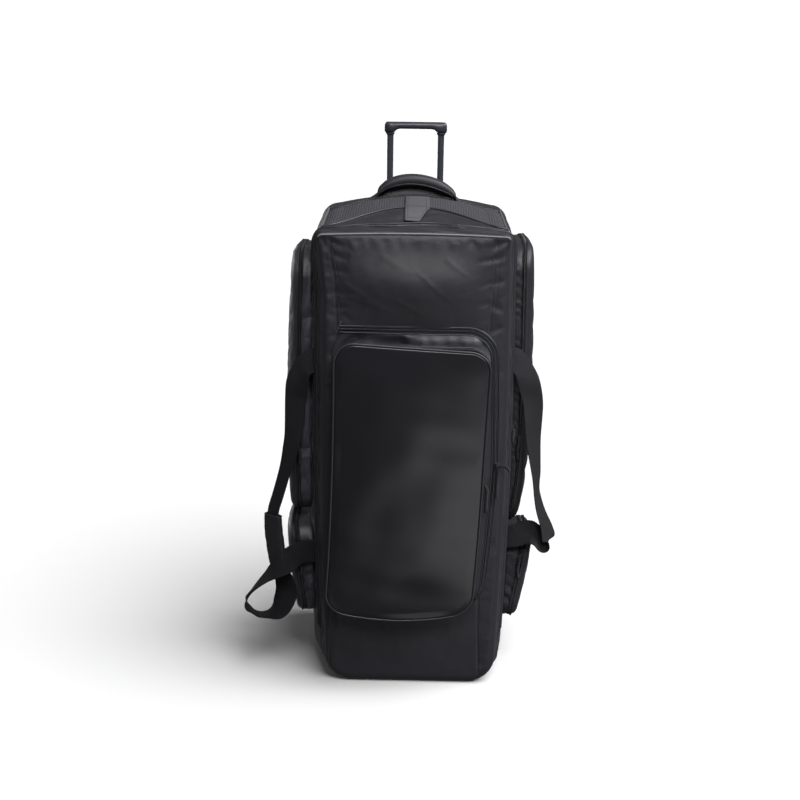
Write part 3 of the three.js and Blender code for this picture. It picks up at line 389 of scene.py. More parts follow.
# Rows of points set off from a path, sideways and outwards
def offset_rows(points, across, out, sideways, outwards):
    return points[:, None] + across[:, None] * sideways[..., None] + out[:, None] * outwards[..., None]


def tube(points, radius, sides=8, closed=False):
    points = np.asarray(points, float)
    if closed:
        ahead = unit(np.roll(points, -1, axis=0) - np.roll(points, 1, axis=0))
    else:
        ahead = unit(np.gradient(points, axis=0))
    start = np.array([0.0, 0.0, 1.0]) if abs(ahead[0, 2]) < 0.8 else np.array([1.0, 0.0, 0.0])
    side = np.zeros_like(points)
    held = start
    for i, way in enumerate(ahead):
        held = unit(held - way * (held @ way))
        side[i] = held
    other = np.cross(ahead, side)
    turn = turns(sides)
    radius = np.broadcast_to(radius, len(points))[:, None, None]
    ring = side[:, None] * np.cos(turn)[:, None] + other[:, None] * np.sin(turn)[:, None]
    rings = points[:, None] + radius * ring
    if closed:
        faces = grid_faces(len(points), sides, True).tolist()
        last = (len(points) - 1) * sides
        twist = int(np.argmin(np.linalg.norm(rings[0] - rings[-1, 0], axis=1)))
        for j in range(sides):
            k = (j + 1) % sides
            faces.append([last + j, last + k, (k + twist) % sides, (j + twist) % sides])
    else:
        faces = capped_faces(len(points), sides)
    return rings.reshape(-1, 3), faces


# Small boxes along a path, from their middles, directions and half sizes
def boxes(middle, ahead, across, out, half):
    signs = np.array([(a, b, c) for a in (-1, 1) for b in (-1, 1) for c in (-1, 1)], float) * half
    spans = np.stack([ahead, across, out], axis=1)
    points = middle[:, None] + signs @ spans
    faces = np.array([(0, 1, 3, 2), (4, 6, 7, 5), (0, 4, 5, 1), (2, 3, 7, 6), (0, 2, 6, 4), (1, 5, 7, 3)])
    quads = faces[None] + 8 * np.arange(len(middle))[:, None, None]
    return points.reshape(-1, 3), quads.reshape(-1, 4)


def joined(parts):
    points = []
    faces = []
    count = 0
    for part_points, part_faces in parts:
        points.append(np.asarray(part_points, float).reshape(-1, 3))
        faces.extend([[int(k) + count for k in face] for face in part_faces])
        count += len(points[-1])
    return np.concatenate(points), faces


# Points and outward directions a pitch apart along a path
def spaced(points, outs, pitch):
    run = along(points, 0)
    at = np.arange(pitch / 2, run[-1], pitch)
    return sample(at, run, points), unit(sample(at, run, outs))


FORWARD = (0.0, -1.0, 0.0)
BACKWARD = np.array((0.0, 1.0, 0.0))
UPWARD = np.array((0.0, 0.0, 1.0))
STITCH_PITCH = 4.2
STITCH_HALF = (1.45, 0.38, 0.28)


# One piece of thread stitches along several runs of points, each with its outward direction
def stitches(name, runs):
    parts = []
    for points, outs in runs:
        middle, facing = spaced(points, np.broadcast_to(outs, points.shape), STITCH_PITCH)
        ahead, across, out = path_frame(middle, facing)
        parts.append(boxes(middle, ahead, across, out, STITCH_HALF))
    points, faces = joined(parts)
    build(name, points, faces, THREAD)


TOOTH_PITCH = 2.3
TOOTH_HALF = (0.72, 1.9, 0.75)
TOOTH_SHIFT = 0.7
TOOTH_LIFT = 0.6
TAPE_ACROSS = np.array([-0.5, -0.36, -0.1, 0.1, 0.36, 0.5])
TAPE_HEIGHTS = np.array([0.1, 0.5, 0.3, 0.3, 0.5, 0.1])
TAPE_SEAM = 0.36
SEAM_LIFT = 0.65


# A coil zip along a path: woven tape under two rows of teeth
def coil_zip(name, points, outs, width, nodes, lift=0.4):
    ahead, across, out = path_frame(points, outs)
    grid = offset_rows(points, across, out, TAPE_ACROSS * width, TAPE_HEIGHTS + lift)
    tape = panel(name, grid, ZIP_TAPE, "zip", nodes=nodes, wall=0)
    if (np.cross(grid[1, 0] - grid[0, 0], grid[0, 1] - grid[0, 0]) @ out[0]) > 0:
        tape.data.flip_normals()
    edges = []
    for side in (-TAPE_SEAM, TAPE_SEAM):
        edges.append((points + across * side * width + outs * (lift + SEAM_LIFT), outs))
    middle, facing = spaced(points, outs, TOOTH_PITCH)
    ahead, across, out = path_frame(middle, facing)
    shift = np.where(np.arange(len(middle)) % 2, TOOTH_SHIFT, -TOOTH_SHIFT)[:, None]
    middle = middle + across * shift + out * (lift + TOOTH_LIFT)
    coil_points, coil_faces = boxes(middle, ahead, across, out, TOOTH_HALF)
    build(name + "_coil", coil_points, coil_faces, COIL)
    stitches(name + "_stitches", edges)


def piping(name, points, radius=2.2, closed=False, nodes=(), material=PIPING):
    tube_points, faces = tube(points, radius, closed=closed)
    build(name, tube_points, faces, material, nodes=nodes)


# The bag's skin from lid to back: depth, half width, crown, shoulder, top and foot corner radii
STATIONS = np.array([
    (-152, 186, 960, 956, 10, 58),
    (-117, 195, 966, 959, 22, 56),
    (-105, 198, 968, 959, 30, 56),
    (-50, 205, 980, 962, 52, 52),
    (36, 207, 991, 970, 60, 42),
    (100, 204, 996, 972, 56, 36),
    (150, 199, 991, 972, 38, 34),
], float)
SLOPE_START = 36
SIDE_BELLY = 7
LEFT_DRAW = 11
DRAW_START = -50
DRAW_LENGTH = 70
DRAW_PLACE = 2.98
DRAW_FADE = 0.1
LID_EDGE = -152
BACK_EDGE = 150
RIM = 18
ZIP_FRONT = -117
ZIP_REAR = -105
ZIP_MIDDLE = (ZIP_FRONT + ZIP_REAR) / 2
SEAT = 0.7
LOOP = 10
TRAY_TOP = 2.05
SHOULDER_SEAM = 3.62


def station(y):
    place = np.interp(y, STATIONS[:, 0], np.arange(len(STATIONS)))
    sizes = [smooth(STATIONS[:, k], place) for k in range(1, 6)]
    return *sizes, np.maximum(0, y - SLOPE_START)


# Points of the skin: places run anticlockwise round the outline from the middle of the foot
def skin(y, place, lift=0.0):
    y, place, lift = np.broadcast_arrays(np.asarray(y, float), np.asarray(place, float), lift)
    half_width, crown, shoulder, top, low, foot = station(y)
    rise = crown - shoulder
    around = place % LOOP
    left = around > LOOP / 2
    at = np.where(left, LOOP - around, around)
    drawn = ramp(DRAW_START - y, DRAW_LENGTH) * ramp(DRAW_PLACE - at, DRAW_FADE)
    half_width = half_width + lift - LEFT_DRAW * left * drawn
    foot = foot - lift
    shoulder = shoulder + lift
    top = np.maximum(top + lift, 0.5)
    low = np.maximum(low + lift, 0.5)
    part = np.minimum(np.floor(at), 4)
    t = at - part
    turn = t * np.pi / 2
    side_z = (foot + low) * (1 - t) + (shoulder - top) * t
    which = [part == 0, part == 1, part == 2, part == 3]
    x = np.select(which, [
        t * (half_width - low),
        half_width - low * (1 - np.sin(turn)),
        half_width + SIDE_BELLY * np.sin(np.pi * t),
        half_width - top * (1 - np.cos(turn)),
    ], (1 - t) * (half_width - top))
    z = np.select(which, [
        foot + 0 * t,
        foot + low * (1 - np.cos(turn)),
        side_z,
        shoulder - top * (1 - np.sin(turn)),
    ], shoulder + rise * (1 - (1 - t) ** 2))
    return coords(np.where(left, -x, x), y, z)


def skin_out(y, place):
    return unit(skin(y, place, 1.0) - skin(y, place, 0.0))


def arch_place(y, x):
    half_width, _, _, top, _, _ = station(np.asarray(y, float))
    return LOOP / 2 - np.asarray(x) / (half_width - top)


# Places between two others, a step apart along the outline at a depth
def spread_places(start, end, step, y=0.0):
    fine = np.linspace(start, end, 3000)
    run = along(skin(y, fine), 0)
    return np.interp(np.linspace(0, run[-1], int(run[-1] / step) + 1), run, fine)


def skin_grid(places, front, rear, rows, lift=lambda y, place, point: 0.0):
    share = np.linspace(0, 1, rows + 1)[:, None]
    y = front(places)[None] * (1 - share) + rear(places)[None] * share
    place = np.broadcast_to(places, y.shape)
    return skin(y, place, lift(y, place, skin(y, place)))


def even(value):
    return lambda places: np.full(len(places), float(value))


# Grid whose outer rings follow a closed outline drawn in by each inset, filled evenly inside the last.
# The loop gives the bottom, right, top and left sides of the outline, anticlockwise from corner to corner.
def nested_grid(loop, insets, columns, rows):
    grid = np.zeros((rows + 1, columns + 1, 2))
    depth = np.full((rows + 1, columns + 1), float(insets[-1]))
    for k, inset in enumerate(insets):
        bottom, right, top, left = loop(inset)
        width = slice(k, columns + 1 - k)
        height = slice(k, rows + 1 - k)
        grid[k, width] = resample(bottom, columns - 2 * k)
        grid[height, columns - k] = resample(right, rows - 2 * k)
        grid[rows - k, width] = resample(top, columns - 2 * k)[::-1]
        grid[height, k] = resample(left, rows - 2 * k)[::-1]
        for line in ((k, width), (rows - k, width), (height, k), (height, columns - k)):
            depth[line] = inset
    last = len(insets) - 1
    inner = grid[last:rows + 1 - last, last:columns + 1 - last]
    u = np.linspace(0, 1, inner.shape[1])[None, :, None]
    v = np.linspace(0, 1, inner.shape[0])[:, None, None]
    edges = (1 - v) * inner[:1] + v * inner[-1:] + (1 - u) * inner[:, :1] + u * inner[:, -1:]
    low = (1 - u) * inner[:1, :1] + u * inner[:1, -1:]
    high = (1 - u) * inner[-1:, :1] + u * inner[-1:, -1:]
    inner[:] = edges - (1 - v) * low - v * high
    return grid[..., 0], grid[..., 1], depth


def rounded_loop(half_a, half_b, corner):
    def arc(middle, radius, start):
        turn = start + np.linspace(0, math.pi / 4, 9)
        return np.stack([middle[0] + radius * np.cos(turn), middle[1] + radius * np.sin(turn)], axis=1)

    def loop(inset):
        radius = max(corner - inset, 0.5)
        a = half_a - inset - radius
        b = half_b - inset - radius
        middles = [(-a, -b), (a, -b), (a, b), (-a, b)]
        sides = []
        for side in range(4):
            start = math.pi * (1.25 + side / 2)
            near = arc(middles[side], radius, start)
            far = arc(middles[(side + 1) % 4], radius, start + math.pi / 4)
            sides.append(np.concatenate([near, far]))
        return sides
    return loop


def skin_loop(edge):
    def loop(inset):
        spans = ((-1.5, 1.5), (1.5, 3.5), (3.5, 6.5), (6.5, 8.5))
        return [skin(edge, np.linspace(start, end, 400), -inset)[:, [0, 2]] for start, end in spans]
    return loop


CLOTH_MASS = 0.25
CLOTH_BEND = 0.4
CLOTH_STIFFNESS = 12.0


# Cloth pass: lets a sheet grow and puff between its held points, then keeps the shape it takes
def settle(thing, held, growth, pressure, frames, most):
    start = np.empty(len(thing.data.vertices) * 3)
    thing.data.vertices.foreach_get("co", start)
    start = start.reshape(-1, 3)
    group = thing.vertex_groups.new(name="held")
    group.add([int(k) for k in np.flatnonzero(held)], 1.0, "REPLACE")
    others = list(thing.modifiers)
    for modifier in others:
        modifier.show_viewport = False
    cloth = thing.modifiers.new("cloth", "CLOTH")
    settings = cloth.settings
    settings.vertex_group_mass = "held"
    settings.quality = 6
    settings.mass = CLOTH_MASS
    settings.tension_stiffness = CLOTH_STIFFNESS
    settings.compression_stiffness = CLOTH_STIFFNESS
    settings.shear_stiffness = CLOTH_STIFFNESS / 2
    settings.bending_stiffness = CLOTH_BEND
    settings.use_pressure = True
    settings.uniform_pressure_force = pressure
    settings.shrink_min = -growth
    settings.shrink_max = -growth
    settings.effector_weights.gravity = 0
    cloth.collision_settings.use_collision = False
    cloth.point_cache.frame_start = 1
    cloth.point_cache.frame_end = frames
    for number in range(1, frames + 1):
        scene.frame_set(number)
    shown = thing.evaluated_get(bpy.context.evaluated_depsgraph_get())
    found = np.empty(len(start) * 3)
    shown.data.vertices.foreach_get("co", found)
    moved = found.reshape(-1, 3) - start
    length = np.linalg.norm(moved, axis=1, keepdims=True)
    moved *= np.minimum(1, most * MM / np.maximum(length, 1e-9))
    thing.modifiers.remove(cloth)
    for modifier in others:
        modifier.show_viewport = True
    scene.frame_set(1)
    thing.vertex_groups.remove(group)
    thing.data.vertices.foreach_set("co", (start + moved).ravel())
    thing.data.update()


# Lid: three sewn panels with a rounded rim, swollen above the pockets
LID_SWELL_Z = 872
LID_CREASES = [
    (30, 868, 96, 812, 3.2, 0.9),
    (28, 872, -6, 900, 3.0, 0.8),
    (-29, 832, 30, 800, 3.4, 0.8),
    (-131, 862, -50, 812, 5.0, 1.0),
    (-120, 838, -30, 806, 4.0, 0.8),
    (64, 912, 122, 866, 4.0, 0.8),
    (-60, 918, 6, 880, 5.0, 0.6),
    (112, 846, 60, 806, 4.0, 0.8),
    (-158, 943, -112, 926, 4.5, -2.2),
    (-157, 919, -122, 906, 4.5, -2.0),
    (-155, 891, -124, 880, 4, -1.6),
    (-154, 846, -122, 840, 4.5, -1.6),
    (-152, 812, -118, 818, 4.5, -1.6),
    (154, 913, 118, 906, 4.5, -2.0),
    (155, 937, 124, 938, 4.5, -1.8),
    (153, 868, 122, 856, 4.5, -1.5),
    (152, 828, 112, 820, 5, -1.6),
    (161, 940, 190, 957, 6, -4.0),
    (159, 914, 190, 928, 6, -3.5),
    (162, 868, 190, 877, 6, -2.8),
    (158, 820, 190, 806, 6, -2.6),
    (156, 770, 190, 791, 7, -3.0),
    (156, 700, 190, 684, 7, -2.4),
    (156, 610, 190, 628, 7, -2.4),
    (156, 520, 190, 500, 7, -2.2),
    (154, 420, 190, 440, 7, -2.2),
    (152, 330, 190, 310, 7, -2.2),
    (-164, 930, -188, 945, 6, -1.4),
    (-163, 882, -188, 868, 6, -1.3),
    (-150, 884, -180, 900, 5, -1.0),
    (-162, 840, -188, 850, 5, -1.1),
    (-162, 800, -188, 818, 7, -1.3),
    (-150, 760, -176, 748, 5, -1.0),
    (-160, 726, -188, 706, 7, -1.2),
    (-160, 640, -188, 660, 7, -1.1),
    (-158, 580, -186, 566, 6, -1.0),
    (-160, 520, -188, 500, 7, -1.0),
    (-160, 400, -188, 420, 7, -1.0),
    (-162, 320, -188, 300, 7, -1.0),
]
LID_INSETS = (0, 0.01, 0.5, 1.5, 3.2, 5.0, 7.6, 10.6, 14.2, 18, 24, 31)
LID_COLUMNS = 110
LID_ROWS = 250
LID_SWELL = 9
LID_SWELL_HALF = 138
LID_SWELL_SPREAD = 46
PUFF = 10
PUFF_Z = 850
PUFF_SPREAD = 58
PUFF_SPAN = 23000
HEAD_PUFF = 3
HEAD_START = 780
STRIP_DROP = 7
STRIP_WIDTH = 22
HELD_BELOW = 760
HEM_Z = 944
HEM_SPREAD = 9
SEAM_WIDTH = 2.6
SEAM_DIP = 2.4
SEAM_STITCH = 4
SEAM_Z = (0, 136, 300, 500, 700, 791, 870, 954)
LEFT_SEAM = (-163, -160, -155, -150, -146, -146, -150, -163)
RIGHT_SEAM = (153, 147, 147, 148, 150, 152, 157, 157)
EDGE_RADIUS = 5
EDGE_START = 932
EDGE_FADE = 20


def rim_height(depth, radius=RIM):
    return np.where(depth > 0, RIM - radius + round_over(depth, radius), 0)


# The rim is tight along the top edge and round elsewhere
def lid_radius(z):
    return RIM + (EDGE_RADIUS - RIM) * ramp(z - EDGE_START, EDGE_FADE)


def lid_seams(z):
    return np.interp(z, SEAM_Z, LEFT_SEAM), np.interp(z, SEAM_Z, RIGHT_SEAM)


def lid_face(x, z):
    swell = LID_SWELL * dome(x, LID_SWELL_HALF) * bell(z - LID_SWELL_Z, LID_SWELL_SPREAD)
    return LID_EDGE - RIM - swell


def make_lid():
    x, z, depth = nested_grid(skin_loop(LID_EDGE), LID_INSETS, LID_COLUMNS, LID_ROWS)
    left, right = lid_seams(z)
    radius = lid_radius(z)
    inner = ramp(depth - 1, radius) ** 2
    seam = bell(x - left, SEAM_WIDTH) + bell(x - right, SEAM_WIDTH)
    strips = ramp(left - x, 10) + ramp(x - right, 10)
    puff = ramp((x - left) * (right - x), PUFF_SPAN)
    swollen = PUFF * puff * bell(z - PUFF_Z, PUFF_SPREAD) + HEAD_PUFF * puff * ramp(z - HEAD_START, 60)
    out = swollen - SEAM_DIP * seam + creases(x, z, LID_CREASES)
    out += 0.35 * ripple(3, x, z, 60, 150) + 0.10 * ripple(4, x, z, 14, 40)
    out += strips * 0.5 * ripple(5, 0.5 * x, z, 18, 70)
    out -= STRIP_DROP * ramp(left - x, STRIP_WIDTH) * ramp(z - HELD_BELOW, 120)
    out += 0.8 * bell(z - HEM_Z, HEM_SPREAD) * ripple(6, x, 0.3 * z, 16, 44)
    face = lid_face(x, z) - (rim_height(depth, radius) - RIM) - inner * out
    thing = cloth_panel("lid_cloth", coords(x, face, z), ("lid_panel",), uvs=coords(x, z))
    held = (depth < 10) | (seam > 0.6) | (z < HELD_BELOW)
    settle(thing, held.ravel(), growth=0.004, pressure=1.2, frames=12, most=1.2)
    runs = []
    heights = np.linspace(30, 922, 260)
    for seam_x in lid_seams(heights):
        for shift in (-SEAM_STITCH, SEAM_STITCH):
            line_x = seam_x + shift
            runs.append((coords(line_x, lid_face(line_x, heights) - 0.2, heights), FORWARD))
    stitches("lid_seam_stitches", runs)


BAND_TOP = 900
BAND_WAVE = 1.6
BAND_PUFF = 2.0
BAND_TOP_WAVE = 1.8


def gusset_lift(y, place, point):
    top = ramp(point[..., 2] - BAND_TOP, 50)
    slack = np.sin(np.pi * ramp(y - LID_EDGE, ZIP_FRONT - LID_EDGE))
    waves = ripple(11, point[..., 0] + 3 * y, point[..., 2], 45, 110)
    lifted = ramp(point[..., 2], 40)
    return lifted * slack * (BAND_WAVE * waves + top * (BAND_PUFF + BAND_TOP_WAVE * waves))


# Waves of the zip along the top edge: height, length and start of each
ZIP_WAVES = ((5.6, 40, 0.6), (2.6, 19, 0.0))
ZIP_WAVE_START = 930


def zip_wave(point):
    waves = sum(height * np.sin(point[..., 0] / length + start) for height, length, start in ZIP_WAVES)
    return ramp(point[..., 2] - ZIP_WAVE_START, 25) * waves


def make_lid_band():
    places = spread_places(0, LOOP, step=4, y=LID_EDGE)[:-1]
    edge = ZIP_FRONT + zip_wave(skin(ZIP_FRONT, places))
    grid = skin_grid(places, even(LID_EDGE), lambda _: edge, rows=12, lift=gusset_lift)
    uvs = coords(along(skin(0.0, places), 0), grid[..., 1])
    cloth_panel("lid_band", grid, ("lid_gusset",), wrap=True, uvs=uvs)


make_lid()
make_lid_band()


# Body panels behind the zip
SIDE_FADE = 30
SIDE_WAVE = 1.8
PUCKER = 1.1
PUCKER_FADE = 16


def side_lift(y, place, point):
    edge = ramp(point[..., 1] - ZIP_REAR, SIDE_FADE) * ramp(BACK_EDGE - point[..., 1], SIDE_FADE)
    puckers = np.exp(-(point[..., 1] - ZIP_REAR) / PUCKER_FADE) * ripple(15, point[..., 2], y, 26, 60)
    return edge * SIDE_WAVE * ripple(13, y, point[..., 2], 70, 190) + PUCKER * puckers


def front_edge(places):
    return ZIP_REAR + zip_wave(skin(ZIP_REAR, places))


def make_sides():
    for end, turn in (("right", 1), ("left", -1)):
        places = spread_places(TRAY_TOP, SHOULDER_SEAM, step=6)
        places = places if turn > 0 else LOOP - places
        grid = skin_grid(places, even(ZIP_REAR), even(BACK_EDGE), rows=42, lift=side_lift)
        cloth_panel(f"side_cloth_{end}", grid, (f"side_panel_{end}",))


def make_base():
    places = spread_places(-TRAY_TOP, TRAY_TOP, step=6)
    front = skin_grid(places, even(ZIP_FRONT), even(SLOPE_START), rows=26)
    cloth_panel("bottom_cloth", front, ("bottom_panel",))
    rear = skin_grid(places, even(SLOPE_START), even(BACK_EDGE), rows=20)
    base = panel("base_tray", rear, BASE_PLASTIC, "plastic", ("wheel_base",), wall=2.6)
    base.modifiers["wall"].use_even_offset = True


BACK_INSETS = (0, 0.5, 1.8, 3.8, 6.4, 9.4, 12.8, 16.4, 20, 26)


def make_back():
    x, z, depth = nested_grid(skin_loop(BACK_EDGE), BACK_INSETS, columns=50, rows=110)
    inner = ramp(depth, RIM) ** 2
    face = BACK_EDGE + rim_height(depth) - inner * np.abs(0.8 * ripple(21, x, z, 120, 260))
    grid = coords(x, face, z)
    cloth_panel("back_cloth", grid, ("back_panel",), wall=2.4, uvs=coords(x, z))


make_sides()
make_base()
make_back()


# Top end: fabric, a crescent of spacer mesh and a rear panel
def mesh_arch(places, side, middle):
    t = np.clip(np.abs(places - LOOP / 2), 0, 1)
    return middle + (side - middle) * t ** 2


# Depths of the net's front and rear edges, at the sides and in the middle
MESH_FRONT = (-88, -8)
MESH_REAR = (82, 96)


def mesh_front(places):
    return mesh_arch(places, *MESH_FRONT)


def mesh_rear(places):
    return mesh_arch(places, *MESH_REAR)


TOP_CREASES = [
    (6, -104, 46, -72, 6, -3.0),
    (2, -104, -40, -74, 6, -3.0),
    (24, -66, 72, -56, 7, -2.4),
    (-22, -92, -78, -96, 6, -2.0),
    (75, -112, 66, -78, 8, -3.6),
    (120, -112, 104, -84, 8, -2.4),
    (-110, -112, -96, -76, 9, -2.2),
    (-60, -112, -62, -80, 8, -1.6),
]


TOP_PUFF = 8
TOP_PUFF_HALF = 175


# Puff of the top cloth between the zip and the net, as a share of its height
def top_puff(x, y, place):
    front = front_edge(place)
    share = np.clip((y - front) / (mesh_front(place) - front), 0, 1)
    return np.sin(np.pi * share) * dome(x, TOP_PUFF_HALF)


def top_lift(y, place, point):
    x = point[..., 0]
    waves = TOP_PUFF + 1.6 * ripple(31, x, y, 40, 100) + 1.5 * creases(x, y, TOP_CREASES)
    return top_puff(x, y, place) * waves


HOLE_PITCH = (5.2, 6.4)
HOLE_HALF = (1.75, 2.3)
HOLE_DEPTH = 1.3
NET_STEP = 1.25


# Rounded holes of the net at points given in lengths across and along it, as shares of their depth and of the
# painted shade in them
def net_holes(u, v):
    across = (u / HOLE_PITCH[0] - np.round(u / HOLE_PITCH[0])) * HOLE_PITCH[0] / HOLE_HALF[0]
    down = (v / HOLE_PITCH[1] - np.round(v / HOLE_PITCH[1])) * HOLE_PITCH[1] / HOLE_HALF[1]
    return np.clip(2.2 * (1 - across ** 4 - down ** 4), 0, 1)


def net_lift(y, place, point):
    return 1.0 - HOLE_DEPTH * net_holes(point[..., 0], y)


RIDGE_RISE = 23
RIDGE_HALF = 84
RIDGE_FOOT = 98
RIDGE_CREST = 109
RIDGE_END = 113.8
RIDGE_WALL = 2.8
POLE_X = 53
POLE_Y = 128
POLE_WIDTH = 13
POLE_DEPTH = 16


# The rear of the top end rises in a ridge in front of the trolley's bezel
def rear_lift(y, place, point):
    climb = ramp(y - RIDGE_FOOT, RIDGE_CREST - RIDGE_FOOT)
    fall = ramp(RIDGE_END - y, RIDGE_WALL)
    ridge = climb ** 2 * (3 - 2 * climb) * fall * np.exp(-(point[..., 0] / RIDGE_HALF) ** 6)
    return RIDGE_RISE * ridge + 0.8 * ridge * ripple(33, point[..., 0], 2 * y, 16, 50)


# Faces of a sheet that leave a gap round the trolley's poles
def clear_of_poles(points, faces, gap_x, gap_y):
    middle = points[faces].mean(axis=1)
    clear = np.abs(np.abs(middle[:, 0]) - POLE_X) > POLE_WIDTH / 2 + gap_x
    clear |= np.abs(middle[:, 1] - POLE_Y) > POLE_DEPTH / 2 + gap_y
    return faces[clear]


REAR_GAP = 4


def make_top():
    places = spread_places(SHOULDER_SEAM, LOOP - SHOULDER_SEAM, step=4)
    front = skin_grid(places, front_edge, mesh_front, rows=30, lift=top_lift)
    cloth_panel("top_cloth", front, ("top_front_panel",))

    fine = spread_places(SHOULDER_SEAM, LOOP - SHOULDER_SEAM, step=NET_STEP)
    crescent = skin_grid(fine, mesh_front, mesh_rear, rows=96, lift=net_lift)
    mesh = panel("mesh_crescent", crescent, SPACER, "mesh", ("mesh_panel",), wall=0)
    # Painted shade in the holes, read by the net's material to darken its colour there
    holes = mesh.data.attributes.new("hole", "FLOAT", "POINT")
    holes.data.foreach_set("value", net_holes(crescent[..., 0], crescent[..., 1]).ravel())

    rear = skin_grid(places, mesh_rear, even(BACK_EDGE), rows=48, lift=rear_lift)
    points = rear.reshape(-1, 3)
    faces = face_out(points, grid_faces(*rear.shape[:2]), INSIDE)
    faces = clear_of_poles(points, faces, REAR_GAP, REAR_GAP)
    nodes = ("top_rear_panel",)
    thing = build("top_rear_cloth", points, faces, POLYESTER, nodes=nodes, uvs=rear[..., :2])
    thicken(thing, 1.6)


make_top()

# Pockets on the front of the lid
LARGE = {"x": 6, "z": 480, "half_x": 164, "half_z": 301, "corner": 64, "depth": 22}
FRONT = {"x": -1, "z": 462, "half_x": 147, "half_z": 283, "corner": 38, "depth": 34, "rim": 2.2, "swell": 9}
FRONT_FALL = 5
FRONT_LEAN = 19
FRONT_BOW = 20
FRONT_TOP_LEFT = 11
FRONT_TOP_RIGHT = -6
FRONT_SKIRT = 21
FRONT_FLARE = 5
FRONT_TILT_HEIGHT = 27
LARGE_FACE = LID_EDGE - RIM - SEAT - LARGE["depth"]
LARGE_CREASES = [
    (-12, 762, 6, 732, 6, 2.2),
    (16, 766, 26, 736, 6, 2.6),
    (40, 764, 58, 734, 7, 2.4),
    (70, 768, 80, 738, 6, 2.6),
    (96, 766, 114, 732, 7, 2.8),
    (122, 760, 136, 726, 7, 2.4),
    (150, 730, 158, 690, 7, -2.0),
    (158, 640, 150, 600, 7, -2.0),
    (-120, 766, -96, 744, 8, -1.6),
]
# The large pocket's right edge sags outwards at mid height and draws in at the foot
SAG_Z = (180, 240, 330, 480, 620, 760)
SAG = (-12, -9, 0, 9, 6, 0)


def on_lid(a, b, height):
    z = LARGE["z"] + b
    x = LARGE["x"] + a + np.interp(z, SAG_Z, SAG) * ramp(a, LARGE["half_x"]) ** 2
    return coords(x, lid_face(x, z) - SEAT - height, z)


def on_large(a, b, height):
    a, b, height = np.broadcast_arrays(a, b, height)
    fall = ramp(FRONT["half_z"] - b, 2 * FRONT["half_z"])
    low = ramp(-b, FRONT["half_z"])
    high = ramp(b, FRONT["half_z"])
    side = a / FRONT["half_x"]
    x = FRONT["x"] + a - FRONT_LEAN * fall ** 2 + FRONT_FLARE * high ** 2 * np.clip(side, 0, 1)
    tilt = FRONT_TOP_LEFT + (FRONT_TOP_RIGHT - FRONT_TOP_LEFT) * (0.5 + side / 2)
    raised = ramp(height, FRONT_TILT_HEIGHT)
    z = FRONT["z"] + b + FRONT_BOW * low ** 2 * side ** 2 + tilt * high ** 3 * raised
    return coords(x, LARGE_FACE - SEAT - height, z)


# Line on a pocket's gusset: points and outward directions along named sides of its outline
def gusset_line(loop, place, sides, height, count, lift=0.0):
    near = resample(np.concatenate([loop(-lift)[side] for side in sides]), count)
    far = resample(np.concatenate([loop(-lift - 1)[side] for side in sides]), count)
    level = height(near[:, 1])
    points = place(near[:, 0], near[:, 1], level)
    return points, unit(place(far[:, 0], far[:, 1], level) - points)


EVERY_SIDE = range(4)
_, RIGHT_SIDE, TOP_SIDE, LEFT_SIDE = EVERY_SIDE
ZIPPED_SIDES = (RIGHT_SIDE, TOP_SIDE)
LARGE_SLOPE = 24
LEFT_SLOPE = 22
LEFT_FLAT = 0.75
TOP_FLAT = 0.4


# Height of the large pocket over the lid at a distance inside its outline, flatter on the left and at the top
def large_rise(depth, a, b):
    slope = LARGE_SLOPE + LEFT_SLOPE * ramp(-a - 40, 80)
    share = ramp(depth, slope)
    flat = 1 - LEFT_FLAT * ramp(-a - 95, 60)
    flat = flat * (1 - TOP_FLAT * ramp(b - 235, 30))
    return LARGE["depth"] * flat * share * share * (3 - 2 * share)


# Line over the large pocket at a distance inside its outline, with its outward directions
def large_line(loop, inset, count):
    lines = []
    for drawn in (inset, inset + 1):
        flat = np.concatenate([loop(drawn)[side] for side in ZIPPED_SIDES])
        end = np.array([(LARGE_ZIP_END - LARGE["x"], LARGE["half_z"] - drawn)])
        flat = resample(np.concatenate([flat[flat[:, 0] > 0], end]), count)
        lines.append(on_lid(flat[:, 0], flat[:, 1], large_rise(drawn, flat[:, 0], flat[:, 1])))
    out = unit(np.cross(np.gradient(lines[0], axis=0), lines[1] - lines[0]))
    out *= -np.sign(out[:, 1:2])
    return lines[0], out


LARGE_INSETS = (0, 2, 4, 6.5, 9, 11.5, 14, 17, 20, 24, 30, 38, 46)
LARGE_ZIP_INSET = 9
LARGE_ZIP_END = -142
LARGE_ZIP_STEPS = 460
LARGE_TAPE = 13
WELT_GAP = 6.4
# Cloth pushed out over the gloss pocket, between dips at its sides
PATCH_LEFT = -22
PATCH_RIGHT = 142
PATCH_FOOT = 700
PATCH_TOP = 778
PATCH_RISE = 12
PATCH_DIP = 8
TACK_ENDS = ((-148, 764), (-139, 788))
TACK_PROUD = 3.2


